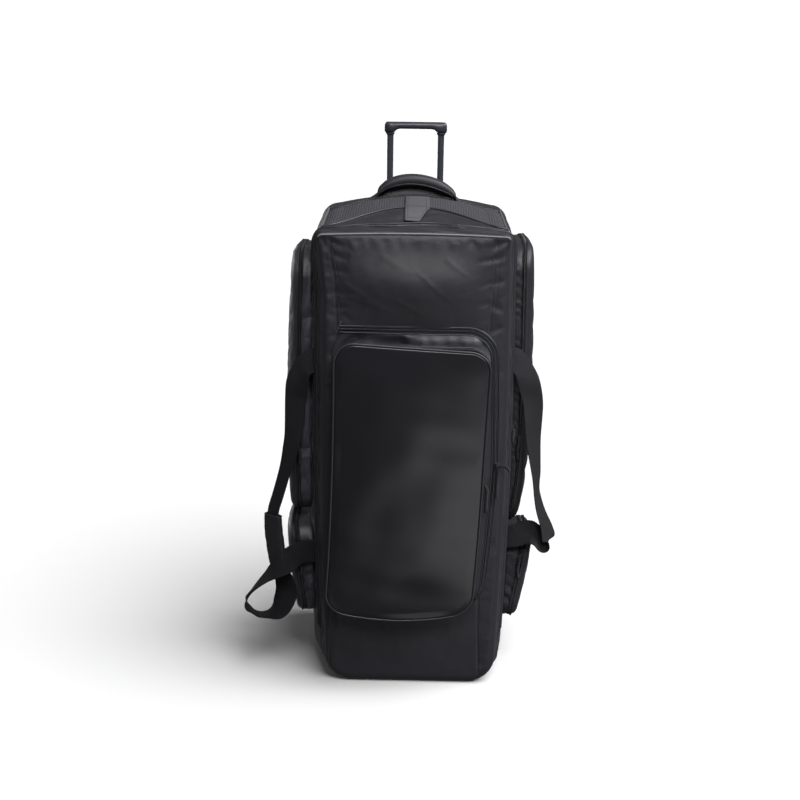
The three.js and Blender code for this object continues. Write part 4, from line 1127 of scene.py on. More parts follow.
def make_large_pocket():
    loop = rounded_loop(LARGE["half_x"], LARGE["half_z"], LARGE["corner"])
    a, b, depth = nested_grid(loop, LARGE_INSETS, columns=96, rows=170)
    x = LARGE["x"] + a
    z = LARGE["z"] + b
    inner = ramp(depth - 12, 14)
    across = ramp(x - PATCH_LEFT, 30) * ramp(PATCH_RIGHT - x, 20)
    patch = ramp(PATCH_TOP - z, 25) * ramp(z - PATCH_FOOT, 40)
    folds = (PATCH_RISE * across - PATCH_DIP) * patch + creases(x, z, LARGE_CREASES)
    folds += 0.8 * ripple(41, x, z, 40, 110)
    rise = large_rise(depth, a, b) + inner * folds
    grid = on_lid(a, b, rise - 0.5 + 0.8 * ramp(depth, 2))
    cloth_panel("large_pocket_cloth", grid, ("pocket_large",), uvs=coords(a, b + rise))
    points, outs = large_line(loop, LARGE_ZIP_INSET, LARGE_ZIP_STEPS)
    coil_zip("large_pocket_zip", points, outs, LARGE_TAPE, ("zip_pocket_large",), lift=0.9)
    for name, inset in (("outer", LARGE_ZIP_INSET - WELT_GAP), ("inner", LARGE_ZIP_INSET + WELT_GAP)):
        welt, facing = large_line(loop, inset, LARGE_ZIP_STEPS)
        piping(f"large_pocket_welt_{name}", welt + facing * 0.9, radius=1.5)
    tack = np.array([(x, lid_face(x, z) - TACK_PROUD, z) for x, z in TACK_ENDS])
    tack_points, tack_faces = tube(resample(tack, 12), radius=1.0)
    build("large_pocket_tack", tack_points, tack_faces, THREAD)


FRONT_INSETS = (0, 0.15, 0.4, 0.9, 1.5, 2.2, 5.0, 10, 14)
FRONT_WELT_LEVEL = 6.0
FRONT_ZIP_LEVEL = 15.0
FRONT_ZIP_STEPS = 395
FRONT_TAPE = 11
FRONT_STITCH_INSET = 5.0


def front_depth(b):
    return FRONT["depth"] + FRONT_FALL * ramp(-b, FRONT["half_z"])


def make_front_pocket():
    loop = rounded_loop(FRONT["half_x"], FRONT["half_z"], FRONT["corner"])
    rim = FRONT["rim"]
    outline = np.concatenate([resample(side, 90)[:-1] for side in loop(0)])
    share = np.linspace(0, 1, 13)[:, None]
    a = outline[None, :, 0]
    b = outline[None, :, 1]
    height = -FRONT_SKIRT + share * (front_depth(b) - rim + FRONT_SKIRT)
    base = on_large(a, b, height)
    waves = 1.4 * np.sin(np.pi * share) * ripple(45, along(outline, 0)[None], 40 * share, 30, 80)
    wide = rounded_loop(FRONT["half_x"] + 1, FRONT["half_z"] + 1, FRONT["corner"] + 1)
    far = np.concatenate([resample(side, 90)[:-1] for side in wide(0)])
    out = unit(on_large(far[None, :, 0], far[None, :, 1], height) - base)
    grid = base + out * waves[..., None]
    core = np.array([0.0, LARGE_FACE - FRONT["depth"] / 2, FRONT["z"]])
    cloth_panel("front_pocket_gusset", grid, ("pocket_front",), wrap=True, inside=core)

    a, b, depth = nested_grid(loop, FRONT_INSETS, columns=84, rows=150)
    middle = dome(a, FRONT["half_x"]) * dome(b, FRONT["half_z"])
    inner = ramp(depth - 3, 11)
    rise = front_depth(b) - rim + round_over(depth, rim) + FRONT["swell"] * middle ** 0.7
    rise += inner * (1.5 * ripple(47, a, b, 130, 300) + 0.40 * ripple(48, a, b, 56, 130))
    grid = on_large(a, b, rise)
    panel("front_pocket_face", grid, VINYL, "vinyl", ("pocket_front_face",), wall=1.4, uvs=coords(a, b))

    edge, _ = gusset_line(loop, on_large, EVERY_SIDE, lambda b: front_depth(b) - rim, count=640, lift=2.0)
    piping("front_pocket_piping", edge[:-1], radius=2.3, closed=True, nodes=("piping_pocket_front",))
    foot, _ = gusset_line(loop, on_large, ZIPPED_SIDES, even(FRONT_WELT_LEVEL), count=420, lift=1.2)
    piping("front_pocket_welt", foot, radius=1.5)
    points, outs = gusset_line(loop, on_large, ZIPPED_SIDES, even(FRONT_ZIP_LEVEL), count=420, lift=0.8)
    kept = slice(FRONT_ZIP_STEPS)
    coil_zip("front_pocket_zip", points[kept], outs[kept], FRONT_TAPE, ("zip_pocket_front",))
    rows = []
    for side in loop(FRONT_STITCH_INSET):
        flat = resample(side, 160)
        level = front_depth(flat[:, 1]) - 0.2
        rows.append((on_large(flat[:, 0], flat[:, 1], level), FORWARD))
    stitches("front_face_stitches", rows)


make_large_pocket()
make_front_pocket()

# Side pockets: side, middle, half sizes, corner, depth at foot and head, rim, swell, gathers and pull height
SIDE_POCKETS = {
    "upper_left": (-1, 27, 622, 98, 280, 52, 44, 38, 13, 14, 12, 500),
    "upper_right": (1, 27, 622, 98, 299, 52, 32, 34, 13, 12, 64, 520),
    "lower_left": (-1, 12, 212, 88, 104, 38, 34, 50, 12, 7, 9, 250),
    "lower_right": (1, 12, 196, 88, 92, 38, 28, 54, 12, 6, 11, 254),
}
SIDE_ZIP_LEVEL = 0.82
SIDE_TAPE = 10
MANY_GATHERS = 20
FINE_GATHER = 1.0
COARSE_GATHER = 1.9
# Rows of the pocket's wall: a hair's inset and the share of the height
WALL_INSETS = (0, 0.001, 0.002, 0.003, 0.004, 0.005, 0.006)
WALL_LEVELS = (0, 0.17, 0.33, 0.5, 0.66, 0.83, 1)
SIDE_TAPER = {"upper_right": 17, "upper_left": 4}


def side_face(y, z):
    half_width, _, shoulder, top, low, foot = station(y)
    start = foot + low
    t = np.clip((z - start) / (shoulder - top - start), 0, 1)
    return half_width + SIDE_BELLY * np.sin(np.pi * t)


def side_place(side, y0, z0):
    def place(a, b, height):
        y = y0 + a
        z = z0 + b
        return coords(side * (side_face(y, z) + SEAT + height), y, z)
    return place


def make_side_pocket(name, row, seed):
    side, y0, z0, half_y, half_z, corner, foot, head, rim, swell, gathers, _ = row
    loop = rounded_loop(half_y, half_z, corner)
    place = side_place(side, y0, z0)

    def depth_at(b):
        low = ramp(-b / half_z - 0.3, 0.7)
        even_depth = foot + (head - foot) * ramp(b + half_z, 2 * half_z)
        return even_depth - SIDE_TAPER.get(name, 0) * low ** 2

    insets = (*WALL_INSETS, 0.7, 2.2, 4.6, 7.8, rim, rim + 5)
    tall = int(half_z / 1.7) + 26
    a, b, depth = nested_grid(loop, insets, columns=72, rows=tall)
    level = np.interp(depth, WALL_INSETS, WALL_LEVELS)
    rise = level * (depth_at(b) - rim)
    rise = rise + np.where(depth > WALL_INSETS[-1], round_over(depth, rim), 0)
    middle = dome(a, half_y) * dome(b, half_z)
    inner = ramp(depth - 4, 30)
    waves = swell * middle + 0.8 * ripple(seed, a, b, 50, 130) + 0.3 * ripple(seed + 1, a, b, 20, 40)
    rise = rise + inner * waves
    gather = np.sin(b / half_z * math.pi * gathers / 2 + 3.0 * level + 1.3 * np.sin(b / 23))
    uneven = 0.6 + 0.4 * ripple(seed + 2, b, 0 * b, 30, 90)
    slack = np.sin(np.pi * np.clip(level * 1.25, 0, 1)) * (depth < 0.01)
    front = np.clip(-a / half_y, -1, 1)
    height = (FINE_GATHER if gathers > MANY_GATHERS else COARSE_GATHER) * uneven * gather
    grid = place(a - slack * front * (1.0 + height), b, rise - 4 * (level == 0))
    uvs = coords(a, b + rise)
    core = np.array([side * 200.0, y0, z0])
    node = f"side_pocket_{name}"
    thing = cloth_panel(f"{node}_cloth", grid, (node,), uvs=uvs, inside=core)
    held = (depth < 0.001) | ((depth > 0.0055) & (depth < 1.0))
    settle(thing, held.ravel(), growth=0.008, pressure=0.6, frames=9, most=2.0)

    def zip_height(b):
        return SIDE_ZIP_LEVEL * (depth_at(b) - rim)

    points, outs = gusset_line(loop, place, (TOP_SIDE, LEFT_SIDE), zip_height, count=360, lift=1.0)
    coil_zip(f"side_{name}_zip", points, outs, SIDE_TAPE, (f"zip_side_{name}",))
    edge, _ = gusset_line(loop, place, EVERY_SIDE, lambda b: depth_at(b) - rim + 1.5, count=480, lift=1.4)
    piping(f"side_{name}_piping", edge[:-1], radius=2.0, closed=True)


for number, (name, row) in enumerate(SIDE_POCKETS.items()):
    make_side_pocket(name, row, 60 + 10 * number)


# Main zip round the lid, and the piping on the seams
def zip_line(y, places, lift=0.0):
    line = skin(y, places, lift)
    line[:, 1] += zip_wave(line)
    return line


MAIN_TAPE = 14
MAIN_WELT_GAP = 1.6
MAIN_SEAM_GAP = 6.0


def make_main_zip():
    places = spread_places(TRAY_TOP, LOOP - TRAY_TOP, step=4, y=ZIP_MIDDLE)
    outs = skin_out(ZIP_MIDDLE, places)
    coil_zip("main_zip_tape", zip_line(ZIP_MIDDLE, places), outs, MAIN_TAPE, ("main_zip",), lift=0.8)
    for name, y in (("front", ZIP_FRONT - MAIN_WELT_GAP), ("rear", ZIP_REAR + MAIN_WELT_GAP)):
        piping(f"main_zip_welt_{name}", zip_line(y, places, lift=1.2), radius=2.1)
    seams = (ZIP_FRONT - MAIN_SEAM_GAP, ZIP_REAR + MAIN_SEAM_GAP)
    stitches("main_zip_seams", [(zip_line(y, places, lift=0.5), outs) for y in seams])


PIPING_TURN = math.pi / 4
PIPING_GAP = 1.6
LID_PIPING_START = 3.3
SHOULDER_PIPING = (-101, 118)
MESH_PIPING_GAP = 0.05


def make_piping():
    places = spread_places(LID_PIPING_START, LOOP - LID_PIPING_START, step=5, y=LID_EDGE)
    radius = lid_radius(skin(LID_EDGE, places)[:, 2])
    reach = (radius + PIPING_GAP) * math.cos(PIPING_TURN)
    line = skin(LID_EDGE, places, reach - radius)
    line[:, 1] = LID_EDGE - RIM + radius - reach
    # The lid and shoulder pipings take the piping colour painted lighter, as a highlight from above
    piping("lid_piping", line, radius=1.9, nodes=("piping_lid",), material=LIT_TOP_PIPING)
    for end, place in (("right", SHOULDER_SEAM), ("left", LOOP - SHOULDER_SEAM)):
        y = np.linspace(*SHOULDER_PIPING, 60)
        line = skin(y, place, 2.2)
        node = f"piping_shoulder_{end}"
        piping(f"shoulder_piping_{end}", line, radius=1.8, nodes=(node,), material=LIT_TOP_PIPING)
    start = SHOULDER_SEAM + MESH_PIPING_GAP
    arch = spread_places(start, LOOP - SHOULDER_SEAM - MESH_PIPING_GAP, step=4)
    piping("mesh_front_piping", skin(mesh_front(arch), arch, 2.0), radius=2.2)
    piping("mesh_rear_piping", skin(mesh_rear(arch), arch, 1.6), radius=1.8)


make_main_zip()
make_piping()


# Zip pulls: a slider with a twisted cord that hangs from it, and at times a loose end to one side
CORD_TWIST = 9
CORD_RADIUS = 2.1
CORD_START = 5.0
LOOSE_RADIUS = 1.8
SLIDER_HALF = (6.0, 4.2, 1.6)
BRIDGE_HALF = (3.4, 1.2, 1.0)


def twisted(line, radius):
    ahead = unit(np.gradient(line, axis=0))
    side = unit(np.cross(ahead, np.array((0.3, 1.0, 0.2))))
    other = np.cross(ahead, side)
    turn = along(line, 0)[:, None] * 2 * math.pi / CORD_TWIST
    strands = []
    for phase in (0, math.pi):
        offset = side * np.cos(turn + phase) + other * np.sin(turn + phase)
        strands.append(tube(line + offset * radius, radius, sides=6))
    return strands


def make_pull(name, at, out, sway, length=42, stray=0, reach=CORD_START):
    at = np.array(at, float)
    out = np.array(out, float)
    down = np.array([0.0, 0.0, -1.0])
    across = np.cross(down, out)
    spans = [np.array([way]) for way in (down, across, out)]
    parts = [
        boxes(np.array([at + out * 2.4 - down * 1]), *spans, SLIDER_HALF),
        boxes(np.array([at + out * 4.6 + down * 2]), *spans, BRIDGE_HALF),
    ]
    t = np.linspace(0, 1, 70)[:, None]
    proud = CORD_START + (reach - CORD_START) * np.minimum(6 * t, 1) - 2.0 * t
    hang = at + out * proud + down * (3 + length * t) + across * sway * np.sin(2.6 * t)
    parts.extend(twisted(hang, CORD_RADIUS))
    if stray:
        t = np.linspace(0, 1, 40)[:, None]
        loose = at + out * (CORD_START + stray * t) + down * (2 - 7 * np.sin(2.4 * t) + 9 * t ** 2)
        parts.extend(twisted(loose, LOOSE_RADIUS))
    points, faces = joined(parts)
    thing = build(f"{name}_cord", points, faces, CORD, nodes=(name,))
    soften(thing, 0.6, 2)


MAIN_PULL_Z = 555.0
LARGE_PULL_Z = 498.0
FRONT_PULL_Z = 470.0


def make_pulls():
    main_x = side_face(-106.5, MAIN_PULL_Z)
    main = (main_x + 0.3, ZIP_MIDDLE, MAIN_PULL_Z)
    make_pull("zip_pull_main", main, (1, 0, 0), sway=3, length=26)
    large = on_lid(LARGE["half_x"] - LARGE_ZIP_INSET + 2.0, LARGE_PULL_Z - LARGE["z"], 10.0)
    make_pull("zip_pull_pocket_large", large, (0.9, -0.44, 0), sway=4, length=64, stray=26, reach=7.0)
    front = on_large(FRONT["half_x"] + 2.6, FRONT_PULL_Z - FRONT["z"], FRONT_ZIP_LEVEL)
    make_pull("zip_pull_pocket_front", front, (0.97, -0.24, 0), sway=6, length=56, reach=11.0)
    for name, row in SIDE_POCKETS.items():
        side, y0, z0, half_y, half_z, _, foot, head, rim, _, _, pull_z = row
        b = pull_z - z0
        depth = foot + (head - foot) * (b + half_z) / (2 * half_z)
        at = side_place(side, y0, z0)(-half_y - 2.6, b, SIDE_ZIP_LEVEL * (depth - rim))
        make_pull(f"zip_pull_{name}", at, FORWARD, sway=4 * side)


make_pulls()

# Carry straps: middle, direction across and width of each row
RIGHT_STRAP = np.array([
    (196, -97, 697, 0, 0.3, 0.95, 50),
    (210, -99, 694, 0.1, 0.5, 0.85, 50),
    (226, -103, 677, 0.45, 0.6, 0.65, 50),
    (238, -104, 648, 0.9, 0.3, 0.4, 48),
    (247, -98, 612, 0.92, 0.38, 0.1, 46),
    (250, -97, 576, 0.82, 0.57, 0, 48),
    (253, -95, 536, 0.72, 0.69, 0, 48),
    (258, -93, 492, 0.56, 0.83, 0, 48),
    (262, -90, 448, 0.42, 0.91, 0, 48),
    (265, -88, 410, 0.3, 0.95, 0, 50),
    (273, -86, 378, 0.34, 0.94, 0, 50),
    (284, -84, 342, 0.38, 0.92, 0.1, 50),
    (292, -80, 312, 0.5, 0.8, 0.25, 50),
    (297, -80, 296, 0.45, 0.8, 0.35, 50),
    (284, -82, 291, 0.3, 0.75, 0.5, 50),
    (268, -90, 312, 0.25, 0.65, 0.6, 50),
    (250, -95, 320, 0.2, 0.4, 0.85, 50),
    (224, -97, 312, 0.1, 0.1, 1, 50),
    (196, -97, 310, 0, 0, 1, 50),
], float)
LEFT_STRAP = np.array([
    (-194, -97, 687, 0, 0.3, 0.95, 50),
    (-209, -99, 684, -0.1, 0.5, 0.85, 50),
    (-223, -103, 668, -0.45, 0.6, 0.65, 50),
    (-232, -104, 640, -0.9, 0.3, 0.4, 48),
    (-237, -97, 604, -1, 0.1, 0.1, 43),
    (-240, -94, 560, -1, 0.2, 0, 41),
    (-244, -93, 520, -0.9, 0.4, 0, 38),
    (-250, -94, 488, -0.8, 0.5, 0, 38),
    (-261, -96, 450, -0.7, 0.6, 0, 34),
    (-275, -98, 398, -0.7, 0.5, 0, 30),
    (-286, -99, 352, -0.8, 0.4, 0, 27),
    (-284, -99, 297, -0.9, 0.3, 0, 27),
    (-277, -97, 238, -0.9, 0.3, 0, 27),
    (-266, -90, 201, -0.95, 0.3, 0, 44),
    (-262, -84, 165, -0.95, 0.3, 0.1, 50),
    (-277, -82, 128, -0.7, 0.6, 0.3, 50),
    (-302, -86, 113, -0.2, 0.95, -0.1, 50),
    (-328, -96, 120, 0, 0.95, -0.3, 50),
    (-345, -108, 148, -0.1, 0.92, -0.36, 50),
    (-332, -118, 182, -0.05, 0.93, -0.2, 50),
    (-298, -122, 220, 0.1, 0.85, 0.3, 50),
    (-258, -113, 250, 0.1, 0.45, 0.85, 50),
    (-226, -98, 266, 0.03, 0.1, 1, 50),
    (-194, -97, 268, 0, 0, 1, 50),
], float)


def strap_frame(rows, place):
    read = [smooth(rows[:, k], place) for k in range(7)]
    middle = np.stack(read[:3], axis=1)
    ahead = unit(np.gradient(middle, axis=0))
    across = np.stack(read[3:6], axis=1)
    across = unit(across - ahead * (across * ahead).sum(axis=1, keepdims=True))
    return middle, across, np.cross(ahead, across), read[6] / 2


# Quarter of the webbing's section, thicker at its selvedge: share of the width and of the half thickness
WEB_EDGE = np.array([(-1, 0.35), (-0.985, 0.9), (-0.9, 1.05), (-0.5, 0.9), (0, 0.85)])
WEB_HALF = 1.1
WEB_CURL = 1.4
CURL_RATE = 1.7
ROW_STEPS = 10


def make_strap(name, rows, node):
    place = np.linspace(0, len(rows) - 1, (len(rows) - 1) * ROW_STEPS + 1)
    middle, across, up, half = strap_frame(rows, place)
    upper = np.concatenate([WEB_EDGE, WEB_EDGE[-2::-1] * (-1, 1)])
    section = np.concatenate([upper, upper[::-1] * (1, -1)])
    wide = section[:, 0] * half[:, None]
    deep = section[:, 1] * WEB_HALF
    curl = WEB_CURL * np.sin(place * CURL_RATE)[:, None] * section[:, 0] ** 2
    rings = offset_rows(middle, across, up, wide, deep + curl)
    faces = capped_faces(len(place), len(section))
    uvs = coords(wide, along(middle, 0)[:, None])
    build(name, rings, faces, WEBBING, nodes=(node,), uvs=uvs)


make_strap("strap_webbing_right", RIGHT_STRAP, "carry_strap_right")
make_strap("strap_webbing_left", LEFT_STRAP, "carry_strap_left")


def squared(value, power):
    return np.sign(value) * np.abs(value) ** power


WRAP_START = 10
WRAP_LENGTH = 1.95
WRAP_WIDE = 20
WRAP_DEEP = 8.0
WRAP_RINGS = 44
WRAP_SQUARE = 0.6
WRAP_PINCH = 0.16
WRAP_SEAM = 0.62


# Padded sleeve on the left strap, closed along one edge
def make_wrap():
    place = np.linspace(WRAP_START, WRAP_START + WRAP_LENGTH, WRAP_RINGS)
    middle, across, up, _ = strap_frame(LEFT_STRAP, place)
    turn = turns(36)
    ends = np.minimum(np.linspace(0, 1, WRAP_RINGS), np.linspace(1, 0, WRAP_RINGS))
    full = 1 - WRAP_PINCH * np.exp(-ends * 30)
    run = along(middle, 0)
    folds = 0.5 * ripple(91, run[:, None], 30 * turn[None], 14, 40)
    wide = (WRAP_WIDE * full[:, None] + folds) * squared(np.cos(turn), WRAP_SQUARE)
    deep = (WRAP_DEEP * full[:, None] + folds) * squared(np.sin(turn), WRAP_SQUARE)
    rings = offset_rows(middle, across, up, wide, deep)
    uvs = coords(turn * 12, run[:, None])
    core = middle.mean(axis=0)
    wrap = cloth_panel("wrap_cloth", rings, ("handle_wrap",), wall=2.5, wrap=True, uvs=uvs, inside=core)
    runs = []
    for side in (-WRAP_SEAM, WRAP_SEAM):
        line = middle + across * side * WRAP_WIDE + up * (WRAP_DEEP + 0.6)
        runs.append((line[2:-2], up[2:-2]))
    stitches("wrap_stitches", runs)
    for end, at in (("upper", 1), ("lower", -2)):
        hoop = rings[at] + unit(rings[at] - middle[at]) * 0.6
        piping(f"wrap_binding_{end}", hoop, radius=1.3, closed=True)


make_wrap()

# Webbing tab over the top end, cut on a slant at the front
TAB_HALF = 25
TAB_MIDDLE = 6
TAB_FRONT = -98
TAB_REAR = 74
TAB_SLANT = 52
TAB_LIFT = 3.6
TAB_PUFF = 9


def make_tab():
    x = TAB_MIDDLE + np.linspace(-TAB_HALF, TAB_HALF, 17)
    share = np.linspace(0, 1, 61)[:, None]
    front = TAB_FRONT + TAB_SLANT * ramp(x - TAB_MIDDLE - 4, 21)
    y = front * (1 - share) + TAB_REAR * share
    place = arch_place(y, x)
    grid = skin(y, place, TAB_LIFT + TAB_PUFF * top_puff(x, y, place))
    panel("tab_webbing", grid, TAB_WEBBING, "tab_webbing", ("top_tab",), wall=2.0, uvs=coords(x, y))
    runs = [(line + np.array((0, 0, 0.3)), UPWARD) for line in (grid[:, 2], grid[:, -3], grid[3])]
    stitches("tab_stitches", runs)


make_tab()

# Padded grab handle over the top end
GRAB_Y = 92
GRAB_HALF = 80
GRAB_MIDDLE = 4
GRAB_APEX = 1030
GRAB_LEAN = 0.84
GRAB_FOOT = 4.3
GRAB_SQUARE = 0.8
GRAB_ARCH = 0.6
GRAB_BARE = 6
# Places of the binding and the stitches round the pad: shares of its half width and half thickness
BINDING = (0.86, 0.62)
STITCH_LINE = (0.7, 0.86)
# Rows of the pad: share of its length, width and thickness
GRAB_ROWS = np.array([
    (0, 26, 9), (0.08, 26, 15), (0.22, 28, 22), (0.5, 29, 24), (0.78, 28, 22), (0.92, 26, 15), (1, 26, 9),
], float)


def make_grab_handle():
    place = np.linspace(0, len(GRAB_ROWS) - 1, 73)
    t, wide, thick = (smooth(GRAB_ROWS[:, k], place) for k in range(3))
    t = np.clip(t, 0, 1)
    reach = GRAB_HALF + 3
    ends = skin(GRAB_Y, arch_place(GRAB_Y, np.array((GRAB_MIDDLE - reach, GRAB_MIDDLE + reach))))
    foot = np.interp(t, (0, 1), ends[:, 2]) + GRAB_FOOT
    z = foot + (GRAB_APEX - foot) * np.sin(np.pi * t ** GRAB_LEAN) ** GRAB_ARCH
    middle = np.stack([GRAB_MIDDLE + reach * (2 * t - 1), np.full_like(t, GRAB_Y), z], axis=1)
    ahead = unit(np.gradient(middle, axis=0))
    up = np.stack([-ahead[:, 2], 0 * t, ahead[:, 0]], axis=1)
    flat = ramp(np.minimum(t, 1 - t), 0.06)[:, None]
    up = unit(up * flat + UPWARD * (1 - flat))
    turn = turns(28)
    half_wide = (wide / 2)[:, None]
    half_thick = (thick / 2)[:, None]
    a = half_wide * squared(np.cos(turn), GRAB_SQUARE)
    b = half_thick * squared(np.sin(turn), GRAB_SQUARE)
    rings = offset_rows(middle, np.broadcast_to(BACKWARD, middle.shape), up, a, b)
    uvs = coords(turn * 10, along(middle, 0)[:, None])
    faces = capped_faces(len(t), len(turn))
    handle = build("grab_handle_pad", rings, faces, POLYESTER, nodes=("grab_handle",), uvs=uvs)
    keep = slice(GRAB_BARE, -GRAB_BARE)
    for end, side in (("front", -1), ("rear", 1)):
        edge = middle + side * BACKWARD * half_wide * BINDING[0] - up * half_thick * BINDING[1]
        piping(f"grab_binding_{end}", edge[keep], radius=1.5)
    line = middle - BACKWARD * half_wide * STITCH_LINE[0] + up * half_thick * STITCH_LINE[1]
    stitches("grab_stitches", [(line[keep], unit(up - 0.8 * BACKWARD)[keep])])


make_grab_handle()


# Trolley: painted poles, collars and a moulded grip hollowed under the hand
CORNER_STEPS = 5


def rounded_ring(half_x, half_y, corner, z, x0, y0):
    ring = []
    for quarter, (sx, sy) in enumerate(((1, 1), (-1, 1), (-1, -1), (1, -1))):
        for turn in np.linspace(0, math.pi / 2, CORNER_STEPS):
            angle = turn + quarter * math.pi / 2
            ring.append((
                x0 + sx * (half_x - corner) + corner * math.cos(angle),
                y0 + sy * (half_y - corner) + corner * math.sin(angle),
                z,
            ))
    return ring


def stack(rings):
    return np.array(rings).reshape(-1, 3), capped_faces(len(rings), len(rings[0]))


GRIP_BOTTOM = 1123
GRIP_HEIGHT = 22
GRIP_HALF = 65
GRIP_DEEP = 13
GRIP_SQUARE = 0.62
GRIP_TAPER = 0.35
GRIP_TAPER_START = 0.8
GRIP_TAPER_SPAN = 0.04
POLE_TOP = GRIP_BOTTOM - 0.3
POLE_BOTTOM = POLE_TOP - 600
POLE_CORNER = 4
# Collars that flare up to the grip: height below it and half sizes
COLLAR = ((-4.2, 7.2, 8.7), (-3.4, 8.0, 9.5), (-1, 9.0, 10.4), (-0.2, 9.0, 10.4))
# Underside and top of the grip: share of its half length and of its height
GRIP_UNDER = np.array([
    (0, 0.36), (0.5, 0.36), (0.6, 0.30), (0.68, 0.08), (0.74, 0.0), (0.97, 0.0), (1, 0.12),
])
GRIP_OVER = np.array([(0, 1), (0.90, 1), (0.95, 0.97), (0.985, 0.86), (1, 0.70)])


def make_trolley():
    for end, side in (("left", -1), ("right", 1)):
        x = side * POLE_X
        levels = (POLE_BOTTOM, POLE_BOTTOM + 1, GRIP_BOTTOM - 1.3, POLE_TOP)
        rings = [rounded_ring(POLE_WIDTH / 2, POLE_DEPTH / 2, POLE_CORNER, z, x, POLE_Y) for z in levels]
        points, faces = stack(rings)
        build(f"pole_{end}", points, faces, POLE, "trolley", (f"trolley_pole_{end}",))
        rings = [rounded_ring(a, b, POLE_CORNER, GRIP_BOTTOM + z, x, POLE_Y) for z, a, b in COLLAR]
        points, faces = stack(rings)
        build(f"pole_collar_{end}", points, faces, PLASTIC, "trolley")
    share = np.concatenate([-np.linspace(1, 0, 60)[:-1] ** 0.6, np.linspace(0, 1, 60) ** 0.6])
    under = np.interp(np.abs(share), *GRIP_UNDER.T) * GRIP_HEIGHT
    over = np.interp(np.abs(share), *GRIP_OVER.T) * GRIP_HEIGHT
    turn = turns(28)
    rings = []
    for s, low, high in zip(share, under, over):
        middle = GRIP_BOTTOM + (low + high) / 2
        half = max((high - low) / 2, 0.4)
        deep = GRIP_DEEP * (1 - GRIP_TAPER * max(0, abs(s) - GRIP_TAPER_START) ** 2 / GRIP_TAPER_SPAN)
        y = POLE_Y + deep * squared(np.cos(turn), GRIP_SQUARE)
        z = middle + half * squared(np.sin(turn), GRIP_SQUARE)
        rings.append(np.stack([np.full_like(turn, s * GRIP_HALF), y, z], axis=1))
    points, faces = stack(rings)
    build("grip_moulding", points, faces, PLASTIC, "trolley", ("trolley_grip",))


make_trolley()

# Bezel plate round the poles: the lines of its outline and its two openings
BEZEL_LINES_X = (-75, -60.4, -45.6, 45.6, 60.4, 75)
BEZEL_LINES_Y = (113, 119.4, 136.6, 143)
BEZEL_RISE = 6
BEZEL_GAPS = (0.9, 0.6)


def make_bezel():
    spans = [np.linspace(*span, 6) for span in zip(BEZEL_LINES_X, BEZEL_LINES_X[1:])]
    x, y = np.meshgrid(np.unique(np.concatenate(spans).round(4)), BEZEL_LINES_Y)
    grid = skin(y, arch_place(y, x), BEZEL_RISE)
    points = grid.reshape(-1, 3)
    faces = face_out(points, grid_faces(*grid.shape[:2]), INSIDE)
    faces = clear_of_poles(points, faces, *BEZEL_GAPS)
    bezel = build("bezel_plate", points, faces, PLASTIC, nodes=("trolley_bezel",))
    thicken(bezel, BEZEL_RISE + 0.5)
    soften(bezel, 1.2, 3)


make_bezel()

# Wheels: a ribbed tyre on a plain hub
WHEEL_X = 146
WHEEL_Y = 133
WHEEL_Z = 36
WHEEL_PROFILE = np.array([
    (4.6, 14), (11, 14), (12, 13.4), (13, 11), (24, 10),
    (25.6, 10.6), (27, 11.6), (31, 12), (33, 11.7), (34.6, 10),
    (35.5, 7.4), (35.6, 5), (35.1, 4.4), (35.1, 3.4), (35.6, 2.8), (35.6, 0.6),
], float)
WHEEL_SIDES = 72


def make_wheels():
    mirrored = WHEEL_PROFILE[::-1] * (1, -1)
    profile = np.concatenate([WHEEL_PROFILE, mirrored])
    rows = len(profile)
    around = np.arange(WHEEL_SIDES)
    after = (around + 1) % WHEEL_SIDES
    last = (rows - 1) * WHEEL_SIDES
    bore = np.stack([last + around, last + after, after, around], axis=1)
    faces = np.concatenate([grid_faces(rows, WHEEL_SIDES, True), bore])
    turn = turns(WHEEL_SIDES)
    for end, side in (("left", -1), ("right", 1)):
        radius = profile[:, 0][:, None]
        x = side * WHEEL_X + profile[:, 1][:, None]
        rings = coords(x, WHEEL_Y + radius * np.cos(turn), WHEEL_Z + radius * np.sin(turn))
        node = f"wheel_{end}"
        build(f"wheel_tyre_{end}", rings, faces, RUBBER, node, (node,))


make_wheels()

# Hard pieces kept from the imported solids
KEPT_LOOKS = {"trolley_guide": POLE, "wheel_bracket": BASE_PLASTIC, "axle": STEEL}
for name, material in KEPT_LOOKS.items():
    for end in ("left", "right"):
        node = frame["nodes"][f"{name}_{end}"]
        node.data.materials.clear()
        node.data.materials.append(material)
        soften(node, 0.8, 2)


# Pale floor and soft studio light: each light reaches the bag, some of its pieces or the floor
BAG_ONLY = bpy.data.collections.new("lit without the room")
FLOOR_ONLY = bpy.data.collections.new("lit floor")


def surround(name, corners, faces, material, shades):
    mesh = bpy.data.meshes.new(name)
    mesh.from_pydata(corners, [], faces)
    mesh.materials.append(material)
    thing = bpy.data.objects.new(name, mesh)
    scene.collection.objects.link(thing)
    BAG_ONLY.objects.link(thing)
    BAG_ONLY.collection_objects[-1].light_linking.link_state = "EXCLUDE"
    thing.visible_diffuse = False
    thing.visible_glossy = False
    thing.visible_shadow = shades


def hang_light(name, data, at, direction, receivers):
    lamp = bpy.data.objects.new(name, data)
    lamp.location = at
    lamp.rotation_euler = Vector(direction).to_track_quat("-Z", "Y").to_euler()
    lamp.light_linking.receiver_collection = receivers
    scene.collection.objects.link(lamp)


def lit_pieces(name, starts):
    made = bpy.data.collections.new(name)
    for thing in bpy.data.objects:
        if thing.type == "MESH" and thing.name.startswith(starts):
            made.objects.link(thing)
    return made


def area_light(name, at, towards, width, height, power, receivers=BAG_ONLY):
    data = bpy.data.lights.new(name, "AREA")
    data.energy = power
    data.shape = "RECTANGLE"
    data.size = width
    data.size_y = height
    hang_light(name, data, at, Vector(towards) - Vector(at), receivers)


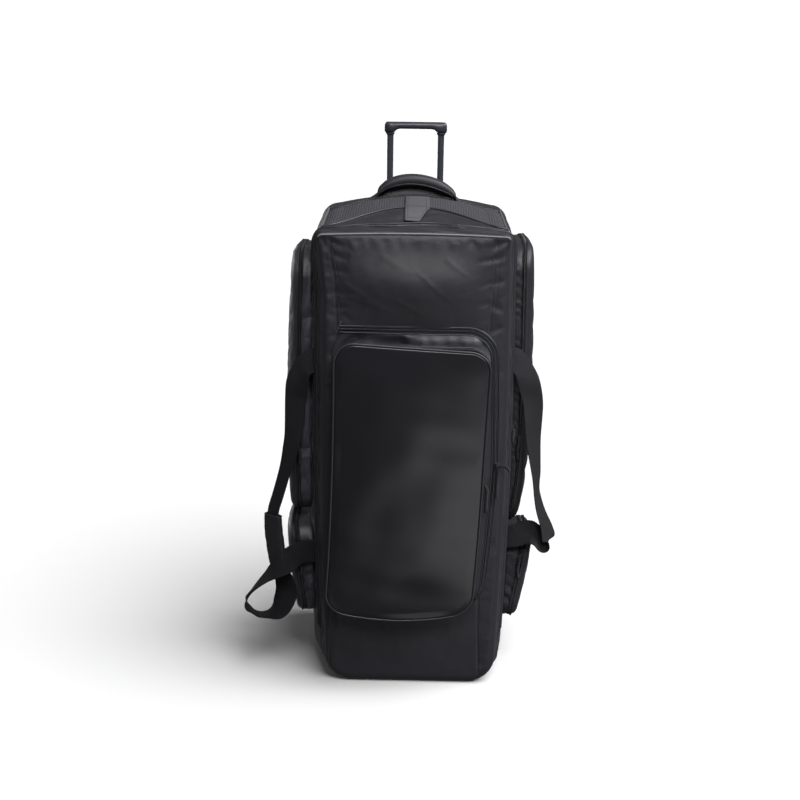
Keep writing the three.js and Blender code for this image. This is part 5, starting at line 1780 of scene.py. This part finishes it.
# A sun with the angle in degrees that its shadows blur over
def sun_light(name, direction, angle, energy, receivers):
    data = bpy.data.lights.new(name, "SUN")
    data.energy = energy
    data.angle = math.radians(angle)
    hang_light(name, data, (0, 0, 5), direction, receivers)


ROOM = 30
ROOM_HEIGHT = 24


def make_studio():
    floor = look("floor", (0.92, 0.92, 0.92), 0.9, {SPECULAR: 0.1})
    low = [(-ROOM, -ROOM, 0), (ROOM, -ROOM, 0), (ROOM, ROOM, 0), (-ROOM, ROOM, 0)]
    high = [(x, y, ROOM_HEIGHT) for x, y, _ in low]
    surround("floor", low, [(0, 1, 2, 3)], floor, True)
    paper = look("backdrop", (0.9, 0.9, 0.9), 0.9, {
        "Emission Color": (1, 1, 1, 1), "Emission Strength": 1.0, SPECULAR: 0.0})
    walls = [(k, (k + 1) % 4, (k + 1) % 4 + 4, k + 4) for k in range(4)]
    surround("backdrop", low + high, walls, paper, False)
    world = bpy.data.worlds.new("world")
    world.use_nodes = True
    background = world.node_tree.nodes["Background"]
    background.inputs["Color"].default_value = (1, 1, 1, 1)
    background.inputs["Strength"].default_value = 0.11
    scene.world = world
    FLOOR_ONLY.objects.link(bpy.data.objects["floor"])
    sun_light("floor sun", (-0.52, 0.31, -1.0), 54, 3.95, FLOOR_ONLY)
    sun_light("sun", (-0.95, 0.26, -1.0), 34, 4.3, BAG_ONLY)
    # Soft lights: place, aim, width, height, power and the pieces they light
    area_light("softbox", (0.35, -2.9, 3.0), (0.02, -0.1, 0.87), 1.5, 1.0, 98)
    area_light("overhead", (0.1, -0.3, 2.7), (0, -0.1, 0.9), 1.4, 1.4, 9)
    area_light("low card", (0.5, -1.2, 0.03), (0.35, -0.85, 0.9), 1.0, 0.8, 3.6)
    left_side = ("side_cloth_left", "side_pocket_upper_left", "side_pocket_lower_left")
    left = lit_pieces("lit left side", left_side)
    area_light("left fill", (-2.7, 1.6, 1.4), (-0.2, 0, 0.55), 1.4, 1.4, 60, left)
    back = lit_pieces("lit back", ("back_", "base_", "wheel_", "axle_"))
    area_light("back fill", (0.5, 2.9, 1.9), (0, 0.1, 0.5), 1.6, 1.6, 110, back)


make_studio()
